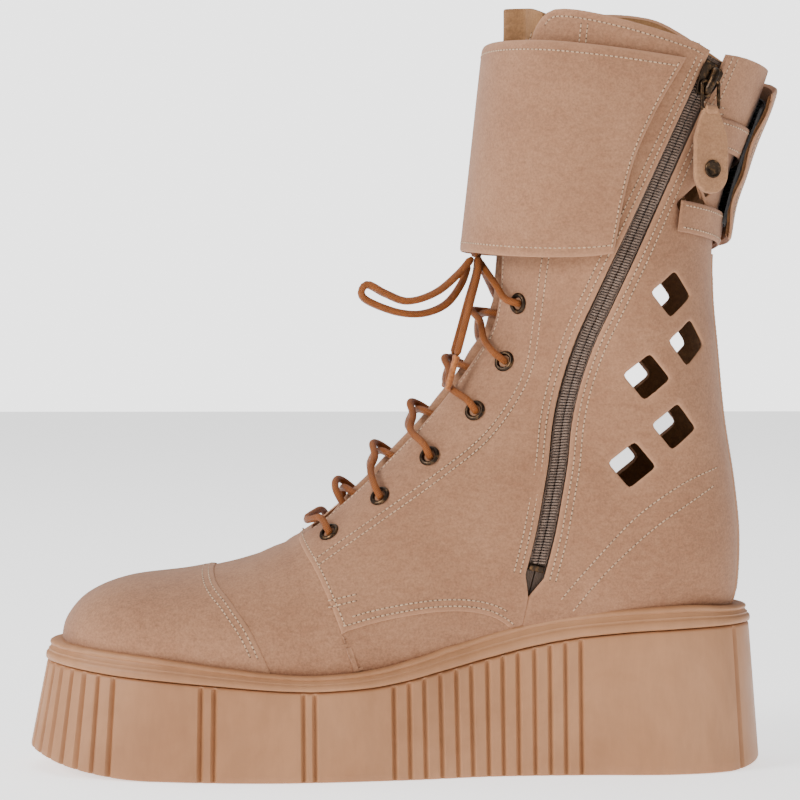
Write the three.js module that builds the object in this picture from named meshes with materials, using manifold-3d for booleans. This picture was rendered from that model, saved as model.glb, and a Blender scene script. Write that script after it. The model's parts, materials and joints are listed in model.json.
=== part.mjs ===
// Lace-up platform boot with a side zip, a wrap cuff and two rear straps. Millimetres, +Z up.
// Toe towards -X, heel towards +X, medial (zip) side towards -Y, lateral side towards +Y.
import * as THREE from "three";
import { mergeVertices } from "three/addons/utils/BufferGeometryUtils.js";
import Module from "manifold-3d";

const wasm = await Module();
wasm.setup();

// Overall sizes. The hand-set points further down are those of the 285 x 100 x 299 boot.
const LENGTH = 285;
const BALL_WIDTH = 100;
const HEIGHT = 299;

// Fits and thicknesses
const GAP = 0.3;
const LEATHER = 2.2;
const SEAM = 0.4;
const TONGUE_LEATHER = 2;
const CUFF_LEATHER = 2.2;
const STRAP_LEATHER = 1.7;
const STRAP_LIFT = 0.9;

// Sole unit
const RIB_DEPTH = 1.2;
const GROOVE_WIDTH = 1.8;
const WELT_LEDGE = 9;
const WELT_SLOPE = 3.2;
const BOARD_THICKNESS = 2.4;
const SHANK_WIDTH = 16;
const SHANK_THICKNESS = 1.8;
const SHANK_FRONT = -18;
const SHANK_REAR = 76;

// Stiffeners inside the upper
const PUFF_THICKNESS = 1;
const COUNTER_THICKNESS = 1.5;

// Closing hardware
const THROAT_HALF_WIDTH = 12;
const EYELET_RADIUS = 4;
const EYELET_BORE = 2.3;
const EYELET_WALL = 0.45;
const EYELET_FLANGE = 0.6;
const LACE_DIAMETER = 2.8;
const ZIP_WIDTH = 6.2;
const ZIP_SLOT = 7.6;
const COIL_THICKNESS = 1.8;
const TAPE_THICKNESS = 0.7;
const ZIP_TOP = 1;
const ZIP_FOOT = 3;
const SLIDER_WIDTH = 9;
const SLIDER_LENGTH = 12.5;
const SLIDER_PLATE = 1.1;
const SLIDER_CLEARANCE = 0.5;
const SLIDER_LIFT = 1.1;
const BRIDGE_HALF = 3;
const HOOK_THICKNESS = 1.2;
const TAPE_WIDTH = 11;
const TAPE_GAP = 0.2;
const TAPE_HEIGHTS = [72, 276];
const STRAP_WIDTH = 12;
const WIRE = 1.5;
const PULLER_WIDTH = 8.8;
const PULLER_LENGTH = 11;
const TAB_WIDTH = 15;
const TAB_LENGTH = 33;
const TAB_THICKNESS = 2.4;
const RIVET_RADIUS = 3.4;

const MEDIAL = -1;
const LATERAL = 1;
const SCALE = new THREE.Vector3(LENGTH / 285, BALL_WIDTH / 100, HEIGHT / 299);

// ---------------------------------------------------------------- solids

function solidOf(geometry) {
  const bare = geometry.clone();
  bare.deleteAttribute("normal");
  bare.deleteAttribute("uv");
  const merged = mergeVertices(bare, 1e-4);
  const triVerts = new Uint32Array(merged.index.array);
  const vertProperties = merged.attributes.position.array;
  return new wasm.Manifold(new wasm.Mesh({ numProp: 3, vertProperties, triVerts }));
}

function solidOfTriangles(triangles) {
  const keyOf = (p) => p.map((c) => Math.round(c * 1e4)).join();
  const kept = triangles.filter((t) => new Set(t.map(keyOf)).size === 3);
  const geometry = new THREE.BufferGeometry();
  geometry.setAttribute("position", new THREE.Float32BufferAttribute(kept.flat(2), 3));
  return solidOf(geometry);
}

function quad(a, b, c, d) {
  return [
    [a, b, c],
    [a, c, d],
  ];
}

// A side-view outline, given as [x, z] points, pushed through from y0 to y1.
function sidePrism(outline, y0, y1) {
  const shape = new THREE.Shape(outline.map(([x, z]) => new THREE.Vector2(x, z)));
  const geometry = new THREE.ExtrudeGeometry(shape, { depth: y1 - y0, bevelEnabled: false });
  return solidOf(geometry.rotateX(Math.PI / 2).translate(0, y1, 0));
}

function boxBetween(low, high) {
  const size = high.map((c, k) => c - low[k]);
  const middle = high.map((c, k) => (c + low[k]) / 2);
  return solidOf(new THREE.BoxGeometry(...size).translate(...middle));
}

function lathe(profile) {
  const points = profile.map(([r, h]) => new THREE.Vector2(r, h));
  return solidOf(new THREE.LatheGeometry(points, 12).rotateX(Math.PI / 2));
}

function union(solids) {
  return solids.reduce((sum, s) => sum.add(s));
}

// The matrix that stands a shape drawn in its own X and Y against a point, its Z along the normal.
function standAt(point, normal, along) {
  const z = normal.clone().normalize();
  const x = along.clone().projectOnPlane(z).normalize();
  const y = z.clone().cross(x);
  return new THREE.Matrix4().makeBasis(x, y, z).setPosition(point);
}

function moved(solid, matrix) {
  return solid.transform(matrix.elements);
}

// ---------------------------------------------------------------- curves

// Catmull-Rom through evenly numbered values.
function spline(values, u) {
  const i = Math.min(Math.max(Math.floor(u), 0), values.length - 2);
  const f = u - i;
  const at = (k) => values[Math.min(Math.max(k, 0), values.length - 1)];
  const [a, b, c, d] = [at(i - 1), at(i), at(i + 1), at(i + 2)];
  return b + 0.5 * f * (c - a + f * (2 * a - 5 * b + 4 * c - d + f * (3 * (b - c) + d - a)));
}

// A height over x, straight between its points.
function heightOver(points, x) {
  const last = points.length - 1;
  const next = points.findIndex(([px]) => px >= x);
  if (next <= 0) return next === 0 ? points[0][1] : points[last][1];
  const [x0, z0] = points[next - 1];
  const [x1, z1] = points[next];
  return z0 + ((z1 - z0) * (x - x0)) / (x1 - x0);
}

function scaled(points) {
  return points.map(([x, z]) => [x * SCALE.x, z * SCALE.z]);
}

function lerp(a, b, f) {
  return a + (b - a) * f;
}

function steps(from, to, count) {
  return Array.from({ length: count + 1 }, (_, i) => lerp(from, to, i / count));
}

// ---------------------------------------------------------------- the last's surface

// Each section is a plane across the boot: its front or top point, its lower or back point,
// its widest half-widths and its half-widths at the lower point, medial then lateral.
const SECTIONS = [
  [-131, 49.5, -131, 47.8, 0, 0, 0, 0],
  [-128.5, 58, -127, 47, 17, 17, 16.5, 16.5],
  [-120.5, 66.5, -118, 46, 29, 29.5, 28, 28.5],
  [-105, 72.5, -102, 45, 38.5, 39, 37, 37.5],
  [-80, 75.8, -78, 42.5, 44.5, 45, 42.5, 43],
  [-56, 81.5, -48, 39, 46.5, 47, 44.5, 45],
  [-36, 91.5, -20, 38.5, 45, 46.5, 42, 44],
  [-17, 107.5, 8, 44, 41.5, 43.5, 37.5, 41],
  [0, 125, 40, 53.5, 38.5, 40, 31.5, 35.5],
  [15, 142, 75, 59, 37.5, 39, 28.5, 31.5],
  [27, 158.5, 108, 62, 37.5, 39, 25, 27],
  [35, 172, 126, 61.5, 37.5, 39, 13, 13.5],
  [38, 184, 131.5, 66, 38, 39.5, 0, 0],
  [39, 197, 133, 88, 39, 40.5, 0, 0],
  [39.5, 212, 131, 110, 40.5, 42, 0, 0],
  [40, 228, 127, 136, 42, 43.5, 0, 0],
  [40.5, 243, 124.5, 162, 43.5, 45, 0, 0],
  [41, 258, 122.5, 186, 44.5, 46, 0, 0],
  [41.5, 272, 123.5, 208, 45, 46.5, 0, 0],
  [42, 286, 130, 233, 45.5, 47, 0, 0],
  [42, 300, 141, 262, 46, 47.5, 0, 0],
  [42, 316, 150, 292, 46.5, 48, 0, 0],
  [42, 332, 156, 322, 47, 48.5, 0, 0],
];
const HEEL_SECTION = 12;
const LAST_SECTION = SECTIONS.length - 1;
const FULLNESS = 0.86;
const COLUMNS = [0, 1, 2, 3, 4, 5, 6, 7].map((k) => SECTIONS.map((row) => row[k]));

function section(v) {
  const [tx, tz, ux, uz, wm, wl, bm, bl] = COLUMNS.map((column) => spline(column, v));
  const bottom = (b) => (v >= HEEL_SECTION ? 0 : Math.max(b, 0) * SCALE.y);
  return {
    front: [tx * SCALE.x, tz * SCALE.z],
    back: [ux * SCALE.x, uz * SCALE.z],
    widest: [Math.max(wm, 1e-3) * SCALE.y, Math.max(wl, 1e-3) * SCALE.y],
    bottom: [bottom(bm), bottom(bl)],
  };
}

// A point of the surface: v numbers the sections, r runs from -1 (medial, low or back) over 0
// (front or top) to 1 (lateral, low or back).
function pointAt(v, r) {
  const { front, back, widest, bottom } = section(v);
  const side = r < 0 ? 0 : 1;
  const share = Math.min(bottom[side] / widest[side], 1) ** (1 / FULLNESS);
  const end = Math.PI - Math.asin(share);
  const angle = Math.abs(r) * end;
  const s = (1 - Math.cos(angle)) / (1 - Math.cos(end));
  const y = widest[side] * Math.max(Math.sin(angle), 0) ** FULLNESS * Math.sign(r);
  return new THREE.Vector3(lerp(front[0], back[0], s), y, lerp(front[1], back[1], s));
}

function normalAt(v, r) {
  const dv = 0.02;
  const dr = 0.01;
  const closed = v >= HEEL_SECTION;
  const wrapped = (x) => (x > 1 ? x - 2 : x < -1 ? x + 2 : x);
  const bound = (x) => (closed ? wrapped(x) : Math.min(Math.max(x, -1), 1));
  const v0 = Math.max(v - dv, 0.03);
  const v1 = Math.max(Math.min(v + dv, LAST_SECTION), 0.06);
  const alongV = pointAt(v1, r).sub(pointAt(v0, r));
  const middle = Math.max(v, 0.03);
  const alongR = pointAt(middle, bound(r + dr)).sub(pointAt(middle, bound(r - dr)));
  return alongV.cross(alongR).normalize();
}

// The surface point moved out by the given distance (in, when it is negative).
function surface(v, r, out = 0) {
  return pointAt(v, r).addScaledVector(normalAt(v, r), out);
}

// The section whose plane passes through a side-view point, and how far across it the point lies.
function locate(x, z, side) {
  let low = 0;
  let high = LAST_SECTION;
  for (let i = 0; i < 40; i++) {
    const v = (low + high) / 2;
    const { front, back } = section(v);
    const across = (back[0] - front[0]) * (z - front[1]) - (back[1] - front[1]) * (x - front[0]);
    if (across > 0) low = v;
    else high = v;
  }
  const v = (low + high) / 2;
  const { front, back, widest, bottom } = section(v);
  const k = side === MEDIAL ? 0 : 1;
  const end = Math.PI - Math.asin(Math.min(bottom[k] / widest[k], 1) ** (1 / FULLNESS));
  const run = [back[0] - front[0], back[1] - front[1]];
  const along = ((x - front[0]) * run[0] + (z - front[1]) * run[1]) / (run[0] ** 2 + run[1] ** 2);
  const s = Math.min(Math.max(along, 0), 1);
  const r = Math.acos(1 - s * (1 - Math.cos(end))) / end;
  return { v, r: side * r };
}

// Where the surface at ring position r reaches a height.
function sectionAtHeight(r, z) {
  let low = HEEL_SECTION - 4;
  let high = LAST_SECTION;
  for (let i = 0; i < 40; i++) {
    const v = (low + high) / 2;
    if (pointAt(v, r).z < z) low = v;
    else high = v;
  }
  return (low + high) / 2;
}

// The ring position whose point lies a given distance beside the front or top line.
function ringBeside(v, y) {
  let low = 0;
  let high = 0.5;
  for (let i = 0; i < 30; i++) {
    const r = (low + high) / 2;
    if (Math.abs(pointAt(v, Math.sign(y) * r).y) < Math.abs(y)) low = r;
    else high = r;
  }
  return (Math.sign(y) * (low + high)) / 2;
}

// ---------------------------------------------------------------- sheets on the surface

// A closed sheet between two grids of points, rows by columns, facing from inner to outer.
// A closed row's ends coincide, so no wall stands there.
function sheetSolid(outer, inner, closedRow = () => false, closedEnds = [false, false]) {
  const rows = outer.length;
  const columns = outer[0].length;
  const triangles = [];
  for (let i = 0; i + 1 < rows; i++) {
    for (let j = 0; j + 1 < columns; j++) {
      triangles.push(
        ...quad(outer[i][j], outer[i][j + 1], outer[i + 1][j + 1], outer[i + 1][j]),
        ...quad(inner[i][j], inner[i + 1][j], inner[i + 1][j + 1], inner[i][j + 1]),
      );
    }
    if (closedRow(i) && closedRow(i + 1)) continue;
    const last = columns - 1;
    triangles.push(
      ...quad(inner[i][0], outer[i][0], outer[i + 1][0], inner[i + 1][0]),
      ...quad(outer[i][last], inner[i][last], inner[i + 1][last], outer[i + 1][last]),
    );
  }
  for (let j = 0; j + 1 < columns; j++) {
    const end = rows - 1;
    if (!closedEnds[0]) {
      triangles.push(...quad(inner[0][j], inner[0][j + 1], outer[0][j + 1], outer[0][j]));
    }
    if (!closedEnds[1]) {
      triangles.push(...quad(outer[end][j], outer[end][j + 1], inner[end][j + 1], inner[end][j]));
    }
  }
  const solid = solidOfTriangles(triangles);
  return solid.volume() > 0 ? solid : solidOfTriangles(triangles.map(([a, b, c]) => [a, c, b]));
}

const RING = steps(-1, 1, 28);
const TOE_ROWS = [0, 0.12, 0.35, 0.65];

// The shell between two distances from the surface, over a range of whole sections.
function shell(outside, inside, from, to) {
  const rows = from === 0 ? [...TOE_ROWS] : [];
  for (let v = Math.max(from, from === 0 ? 1 : from); v <= to; v++) rows.push(v);
  const tip = surface(0.12, 0);
  const place = (v, r, out) => {
    if (v > 0) return surface(v, r, out).toArray();
    return [pointAt(0, 0).x - out, 0, Math.min(pointAt(0, 0).z, tip.z)];
  };
  const grid = (out) => rows.map((v) => RING.map((r) => place(v, r, out)));
  const closedRow = (i) => rows[i] >= HEEL_SECTION;
  return sheetSolid(grid(outside), grid(inside), closedRow, [from === 0, false]);
}

// A strip of flat cross-section laid over sample points, each with a point and a normal.
function strip(samples, left, right, outside, inside) {
  const rows = samples.map(({ point, normal }, i) => {
    const before = samples[Math.max(i - 1, 0)].point;
    const after = samples[Math.min(i + 1, samples.length - 1)].point;
    const across = after.clone().sub(before).cross(normal).normalize();
    const corner = (w, out) => point.clone().addScaledVector(across, w).addScaledVector(normal, out);
    return [
      [corner(left, outside).toArray(), corner(right, outside).toArray()],
      [corner(left, inside).toArray(), corner(right, inside).toArray()],
    ];
  });
  return sheetSolid(
    rows.map(([top]) => top),
    rows.map(([, bottom]) => bottom),
  );
}

function sampleAt(v, r) {
  return { point: surface(v, r), normal: normalAt(v, r) };
}

// Surface samples below a smooth side-view line.
function sideLine(points, side, count) {
  const curve = new THREE.CatmullRomCurve3(points.map(([x, z]) => new THREE.Vector3(x, 0, z)));
  return curve.getSpacedPoints(count).map((p) => {
    const { v, r } = locate(p.x, p.z, side);
    return sampleAt(v, r);
  });
}

// A curve whose steps follow its own points, so that tight bends get as many as they were given.
class StepByPoint extends THREE.CatmullRomCurve3 {
  getPointAt(u, target) {
    return this.getPoint(u, target);
  }
  getTangentAt(u, target) {
    return this.getTangent(u, target);
  }
}

// A tube of eight sides through hand-set or computed points.
function tube(points, diameter, stepsEach = 1) {
  const curve = new StepByPoint(points, false, "centripetal");
  const count = (points.length - 1) * stepsEach;
  const section = new THREE.Shape(
    Array.from({ length: 8 }, (_, i) => {
      const a = (i * Math.PI) / 4;
      return new THREE.Vector2(Math.cos(a), Math.sin(a)).multiplyScalar(diameter / 2);
    }),
  );
  const options = { steps: count, extrudePath: curve, bevelEnabled: false };
  const made = solidOf(new THREE.ExtrudeGeometry(section, options));
  if (made.volume() > 0) return made;
  throw new Error("a tube faces inwards");
}

// ---------------------------------------------------------------- the finished group

const boot = new THREE.Group();

function addNode(name, solid, look) {
  const mesh = solid.getMesh();
  const position = new Float32Array(mesh.numVert * 3);
  for (let i = 0; i < mesh.numVert; i++) {
    position.set(mesh.vertProperties.subarray(i * mesh.numProp, i * mesh.numProp + 3), i * 3);
  }
  const geometry = new THREE.BufferGeometry();
  geometry.setAttribute("position", new THREE.BufferAttribute(position, 3));
  geometry.setIndex(new THREE.BufferAttribute(mesh.triVerts, 1));
  geometry.computeVertexNormals();
  const node = new THREE.Mesh(geometry, new THREE.MeshStandardMaterial(look));
  node.name = name;
  boot.add(node);
}

const NUBUCK = { color: 0xaa8e78, roughness: 0.95, metalness: 0 };
const FLESH = { color: 0x7a5636, roughness: 1, metalness: 0 };
const SOLE_RUBBER = { color: 0xb08a6b, roughness: 0.6, metalness: 0 };
const FOAM = { color: 0xc9b299, roughness: 0.95, metalness: 0 };
const BOARD = { color: 0x8d7458, roughness: 0.9, metalness: 0 };
const STEEL = { color: 0x8d9196, roughness: 0.35, metalness: 1 };
const STIFFENER = { color: 0xd9d4c8, roughness: 0.7, metalness: 0 };
const BRASS = { color: 0x4a3f33, roughness: 0.45, metalness: 0.9 };
const ZIP_TAPE = { color: 0x7b6656, roughness: 0.9, metalness: 0 };
const ZIP_COIL = { color: 0x64554e, roughness: 0.4, metalness: 0 };
const LACE = { color: 0xb27440, roughness: 0.7, metalness: 0 };
const HOOK_TAPE = { color: 0x15130f, roughness: 1, metalness: 0 };

// ---------------------------------------------------------------- sole unit

const GROUND_LINE = scaled([
  [-152, 14],
  [-141, 9.5],
  [-125, 4.2],
  [-108, 1],
  [-94, 0],
  [126, 0],
  [134, 1],
  [142, 3.6],
  [152, 8],
]);
const PARTING_LINE = scaled([
  [-152, 43.5],
  [-137, 41.7],
  [-108, 38.6],
  [-76, 36.2],
  [-37, 33.6],
  [-18, 34],
  [-4, 35.6],
  [14, 39.6],
  [37, 45.2],
  [55, 49.4],
  [69, 51.8],
  [92, 54],
  [130, 55.6],
  [152, 55],
]);
const WELT_LINE = scaled([
  [-152, 50.4],
  [-131, 49],
  [-94, 46],
  [-61, 41.8],
  [-37, 39.4],
  [-18, 40],
  [-5, 42],
  [7.6, 45.3],
  [18, 49],
  [41.6, 55.8],
  [60, 60],
  [83, 62.3],
  [111, 63.8],
  [131, 62.8],
  [152, 62],
]);
const ROUND_SOLE = [
  [-137, -3],
  [-131.5, -21],
  [-116, -36],
  [-87, -46.5],
  [-46, -50],
  [0, -43.5],
  [35, -34.5],
  [70, -31.5],
  [105, -31],
  [128, -22],
  [138, 0],
  [128, 22.5],
  [105, 32.5],
  [70, 35],
  [35, 39],
  [0, 45.5],
  [-42, 50],
  [-82, 48.5],
  [-114, 39],
  [-131, 20],
];
const OUTLINE_STEPS = 76;

// The sole's plan outline at the parting line: points with their outward normals.
function planOutline() {
  const points = ROUND_SOLE.map(([x, y]) => new THREE.Vector3(x * SCALE.x, y * SCALE.y, 0));
  const curve = new THREE.CatmullRomCurve3(points, true, "centripetal");
  return steps(0, 1, OUTLINE_STEPS)
    .slice(0, -1)
    .map((u) => {
      const p = curve.getPointAt(u);
      const t = curve.getTangentAt(u);
      return { x: p.x, y: p.y, nx: t.y, ny: -t.x };
    });
}
const OUTLINE = planOutline();

// How far the wall leans out per millimetre of depth: most at the toe.
function flare(x) {
  const toe = Math.min(Math.max((-x - 90 * SCALE.x) / (47 * SCALE.x), 0), 1);
  return 0.075 + 0.12 * toe;
}

// A solid of the plan outline, moved out by an amount per level: each level has a height
// and a distance, which may depend on the outline's point.
function outlineSolid(levels) {
  const rings = levels.map(({ height, out }) =>
    OUTLINE.map((p) => [p.x + p.nx * out(p.x), p.y + p.ny * out(p.x), height(p.x)]),
  );
  const triangles = [];
  const count = OUTLINE.length;
  for (let i = 0; i + 1 < rings.length; i++) {
    for (let j = 0; j < count; j++) {
      const k = (j + 1) % count;
      triangles.push(...quad(rings[i][j], rings[i][k], rings[i + 1][k], rings[i + 1][j]));
    }
  }
  const low = [0, 0, rings[0][0][2]];
  const high = [0, 0, rings.at(-1)[0][2]];
  for (let j = 0; j < count; j++) {
    const k = (j + 1) % count;
    triangles.push([low, rings[0][k], rings[0][j]], [high, rings.at(-1)[j], rings.at(-1)[k]]);
  }
  const solid = solidOfTriangles(triangles);
  return solid.volume() > 0 ? solid : solidOfTriangles(triangles.map(([a, b, c]) => [a, c, b]));
}

const FAR = 200;
const flat = (z) => () => z;

// Everything between two lines of the side view, over the sole's whole width.
function layer(lower, upper, raiseLower, raiseUpper, from = -150, to = 150, half = 70) {
  const inside = ([x]) => x > from * SCALE.x && x < to * SCALE.x;
  const ends = [from * SCALE.x, to * SCALE.x];
  const run = (line, raise) => [
    [ends[0], heightOver(line, ends[0]) + raise],
    ...line.filter(inside).map(([x, z]) => [x, z + raise]),
    [ends[1], heightOver(line, ends[1]) + raise],
  ];
  return sidePrism([...run(lower, raiseLower), ...run(upper, raiseUpper).reverse()], -half, half);
}

function insideWall(clearance) {
  const out = () => -WELT_LEDGE - clearance;
  return outlineSolid([
    { height: flat(-FAR), out },
    { height: flat(FAR), out },
  ]);
}

// Upright grooves cut into the side wall, at side-view positions on both sides.
function wallGrooves() {
  const toeGrooves = steps(-130, -106, 4);
  const forefoot = [-78, -74, -35];
  const ribZone = steps(-1.5, 70, 12);
  const rear = [131];
  const cutters = [];
  for (const side of [MEDIAL, LATERAL]) {
    for (const x of [...toeGrooves, ...forefoot, ...ribZone, ...rear]) {
      const beside = OUTLINE.filter((p) => p.y * side > 0);
      const distance = (p) => Math.abs(p.x - x * SCALE.x);
      const p = beside.reduce((best, q) => (distance(q) < distance(best) ? q : best));
      const shift = (x * SCALE.x - p.x) / Math.max(Math.abs(p.ny), 0.3);
      const tangent = new THREE.Vector3(Math.abs(p.ny), -Math.sign(p.ny) * p.nx, 0);
      const lean = new THREE.Vector3(-p.nx * flare(p.x), -p.ny * flare(p.x), 1).normalize();
      const base = new THREE.Vector3(p.x, p.y, heightOver(PARTING_LINE, p.x));
      base.addScaledVector(tangent, shift);
      const out = new THREE.Vector3(p.nx, p.ny, 0);
      const cutter = new THREE.BoxGeometry(GROOVE_WIDTH, 2 * RIB_DEPTH, 160);
      const upright = new THREE.Matrix4().makeBasis(lean.clone().cross(out).negate(), out, lean);
      cutters.push(solidOf(cutter.applyMatrix4(upright.setPosition(base))));
    }
  }
  return union(cutters);
}

function makeSole() {
  const leaning = (z) => ({
    height: flat(z),
    out: (x) => flare(x) * (heightOver(PARTING_LINE, x) - z),
  });
  const wall = outlineSolid([leaning(-20), leaning(80)]);
  const slab = layer(GROUND_LINE, PARTING_LINE, 0, 0);
  const depth = SHANK_THICKNESS + 2 * GAP;
  const pocket = layer(
    PARTING_LINE,
    PARTING_LINE,
    -depth,
    5,
    SHANK_FRONT - GAP,
    SHANK_REAR + GAP,
    SHANK_WIDTH / 2 + GAP,
  );
  addNode("platform_sole", slab.intersect(wall).subtract(wallGrooves()).subtract(pocket), SOLE_RUBBER);

  const shank = layer(
    PARTING_LINE,
    PARTING_LINE,
    -GAP - SHANK_THICKNESS,
    -GAP,
    SHANK_FRONT,
    SHANK_REAR,
    SHANK_WIDTH / 2,
  );
  addNode("steel_shank", shank, STEEL);

  const over = (line, raise) => (x) => heightOver(line, x) + raise;
  const sloped = outlineSolid([
    { height: flat(-FAR), out: () => 0 },
    { height: over(PARTING_LINE, 3), out: () => 0 },
    { height: over(WELT_LINE, 0), out: () => -WELT_SLOPE },
    { height: flat(FAR), out: () => -WELT_SLOPE },
  ]);
  const band = layer(PARTING_LINE, WELT_LINE, GAP, 0);
  addNode("welt_band", band.intersect(sloped).subtract(insideWall(0)), SOLE_RUBBER);

  const board = layer(PARTING_LINE, PARTING_LINE, GAP, GAP + BOARD_THICKNESS);
  addNode("insole_board", board.intersect(insideWall(GAP)), BOARD);
  const footbed = layer(PARTING_LINE, WELT_LINE, 2 * GAP + BOARD_THICKNESS, 0.1);
  addNode("footbed", footbed.intersect(insideWall(GAP)), FOAM);
}

// ---------------------------------------------------------------- upper

const ZIP_LINE = scaled([
  [122, 277],
  [117, 266],
  [90.6, 209],
  [79, 184],
  [70.5, 165],
  [65, 148],
  [62, 134],
  [60.5, 120],
  [58.5, 108],
  [55.5, 92],
  [51.5, 76],
]);
const ZIP_STRAIGHT = 2;
const LATERAL_SEAM_TOP = [133 * SCALE.x, 303 * SCALE.z];
const TOE_SEAM = scaled([
  [-74, 95],
  [-71.5, 76],
  [-63.5, 66],
  [-55, 54],
  [-46.5, 34],
]);
const QUARTER_EDGE = scaled([
  [-37, 112],
  [-38.6, 93.5],
  [-39.2, 88.5],
  [-31.4, 77],
  [-24.5, 62],
  [-23, 57.5],
  [-19.5, 56.4],
  [-8.7, 59.3],
  [5, 61.8],
  [16.7, 63],
  [28, 62.5],
  [37, 59.8],
  [44, 54],
  [47, 46],
]);
const COLLAR_SEAM = scaled([
  [107, 254],
  [124, 250],
  [141, 247],
  [165, 244],
]);
const MEDIAL_TOP = scaled([
  [30, 262],
  [47, 272],
  [52, 285],
  [56.5, 291],
  [63, 292],
  [77, 289.2],
  [94, 284.6],
  [113, 278.7],
  [119, 275.5],
  [132, 274],
  [152, 269],
]);
const LATERAL_TOP = scaled([
  [30, 262],
  [47, 274],
  [55, 288],
  [66, 295.5],
  [85, 299],
  [109, 297.2],
  [119, 293],
  [128, 284],
  [136, 276],
  [152, 269],
]);
const DIAMONDS = scaled([
  [104, 183.5],
  [110.5, 165],
  [94, 152],
  [105, 133],
  [88.5, 118.5],
  [120, 229],
  [112.5, 217],
]);
const DIAMOND_HALF = [9.2, 9];
const BACKSTAY_HALF = 9;
const EYELETS = scaled([
  [-26.5, 91.5],
  [-7, 105.5],
  [12, 121],
  [29.5, 138.5],
  [41, 157.5],
  [46.5, 180],
]);

// A thin upright wall below a side-view line, which parts two panels.
function seamWall(line, y0, y1, thickness = SEAM) {
  const edge = (sign) =>
    line.map(([x, z], i) => {
      const [x0, z0] = line[Math.max(i - 1, 0)];
      const [x1, z1] = line[Math.min(i + 1, line.length - 1)];
      const run = Math.hypot(x1 - x0, z1 - z0);
      const half = (sign * thickness) / 2;
      return [x - (half * (z1 - z0)) / run, z + (half * (x1 - x0)) / run];
    });
  return sidePrism([...edge(1), ...edge(-1).reverse()], y0, y1);
}

function above(line, y0, y1) {
  const [first, last] = [line[0], line.at(-1)];
  return sidePrism([...line, [last[0], 400], [first[0] - 60, 400], [first[0] - 60, first[1]]], y0, y1);
}

// The lacing gap, drawn in the front view and pushed through the front of the boot.
function throatCutter() {
  const half = THROAT_HALF_WIDTH;
  const [low, high] = [84 * SCALE.z, 340 * SCALE.z];
  const spread = 200 * SCALE.z;
  const shape = new THREE.Shape();
  shape.moveTo(-half, low);
  shape.lineTo(half, low);
  shape.lineTo(half, spread);
  shape.quadraticCurveTo(half + 1, 245 * SCALE.z, half + 14, 282 * SCALE.z);
  shape.lineTo(half + 30, high);
  shape.lineTo(-half - 30, high);
  shape.lineTo(-half - 14, 282 * SCALE.z);
  shape.quadraticCurveTo(-half - 1, 245 * SCALE.z, -half, spread);
  shape.closePath();
  const front = new THREE.Matrix4().makeBasis(
    new THREE.Vector3(0, 1, 0),
    new THREE.Vector3(0, 0, 1),
    new THREE.Vector3(1, 0, 0),
  );
  const [near, far] = [-40 * SCALE.x, 75 * SCALE.x];
  const options = { depth: far - near, bevelEnabled: false, curveSegments: 4 };
  const cut = new THREE.ExtrudeGeometry(shape, options);
  return solidOf(cut.applyMatrix4(front.setPosition(near, 0, 0)));
}

const DIAMOND_CORNER = 0.12;
function diamondCutter(x, z, side) {
  const { v, r } = locate(x, z, side);
  const [half, tall] = DIAMOND_HALF;
  const shape = new THREE.Shape();
  const corner = DIAMOND_CORNER;
  const tips = [
    [half, -0.8],
    [1, tall],
    [-half, 0.8],
    [-1, -tall],
  ];
  tips.forEach(([px, pz], i) => {
    const [qx, qz] = tips[(i + 1) % 4];
    const from = [lerp(px, qx, corner), lerp(pz, qz, corner)];
    const to = [lerp(px, qx, 1 - corner), lerp(pz, qz, 1 - corner)];
    if (i === 0) shape.moveTo(...from);
    shape.lineTo(...to);
    const [nx, nz] = tips[(i + 2) % 4];
    shape.quadraticCurveTo(qx, qz, lerp(qx, nx, corner), lerp(qz, nz, corner));
  });
  const options = { depth: 30, bevelEnabled: false, curveSegments: 1 };
  const hole = new THREE.ExtrudeGeometry(shape, options).translate(0, 0, -18);
  const normal = normalAt(v, r);
  const level = new THREE.Vector3(0, 0, 1).cross(normal).multiplyScalar(-side);
  const place = standAt(surface(v, r), normal, level);
  return solidOf(hole.applyMatrix4(place));
}

// The zip's centre line as surface samples. Its upper stretch is one straight line.
function zipSamples() {
  const smooth = sideLine(ZIP_LINE, MEDIAL, 26);
  const upper = ZIP_LINE.slice(0, ZIP_STRAIGHT + 1);
  const [high, low] = [upper[0], upper[ZIP_STRAIGHT]].map(([x, z]) => {
    const { v, r } = locate(x, z, MEDIAL);
    return sampleAt(v, r);
  });
  const drop = high.point.z - low.point.z;
  return smooth.map((sample) => {
    if (sample.point.z < low.point.z) return sample;
    const f = Math.min((high.point.z - sample.point.z) / drop, 1);
    return {
      point: high.point.clone().lerp(low.point, f),
      normal: high.normal.clone().lerp(low.normal, f).normalize(),
    };
  });
}
const ZIP = zipSamples();

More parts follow.
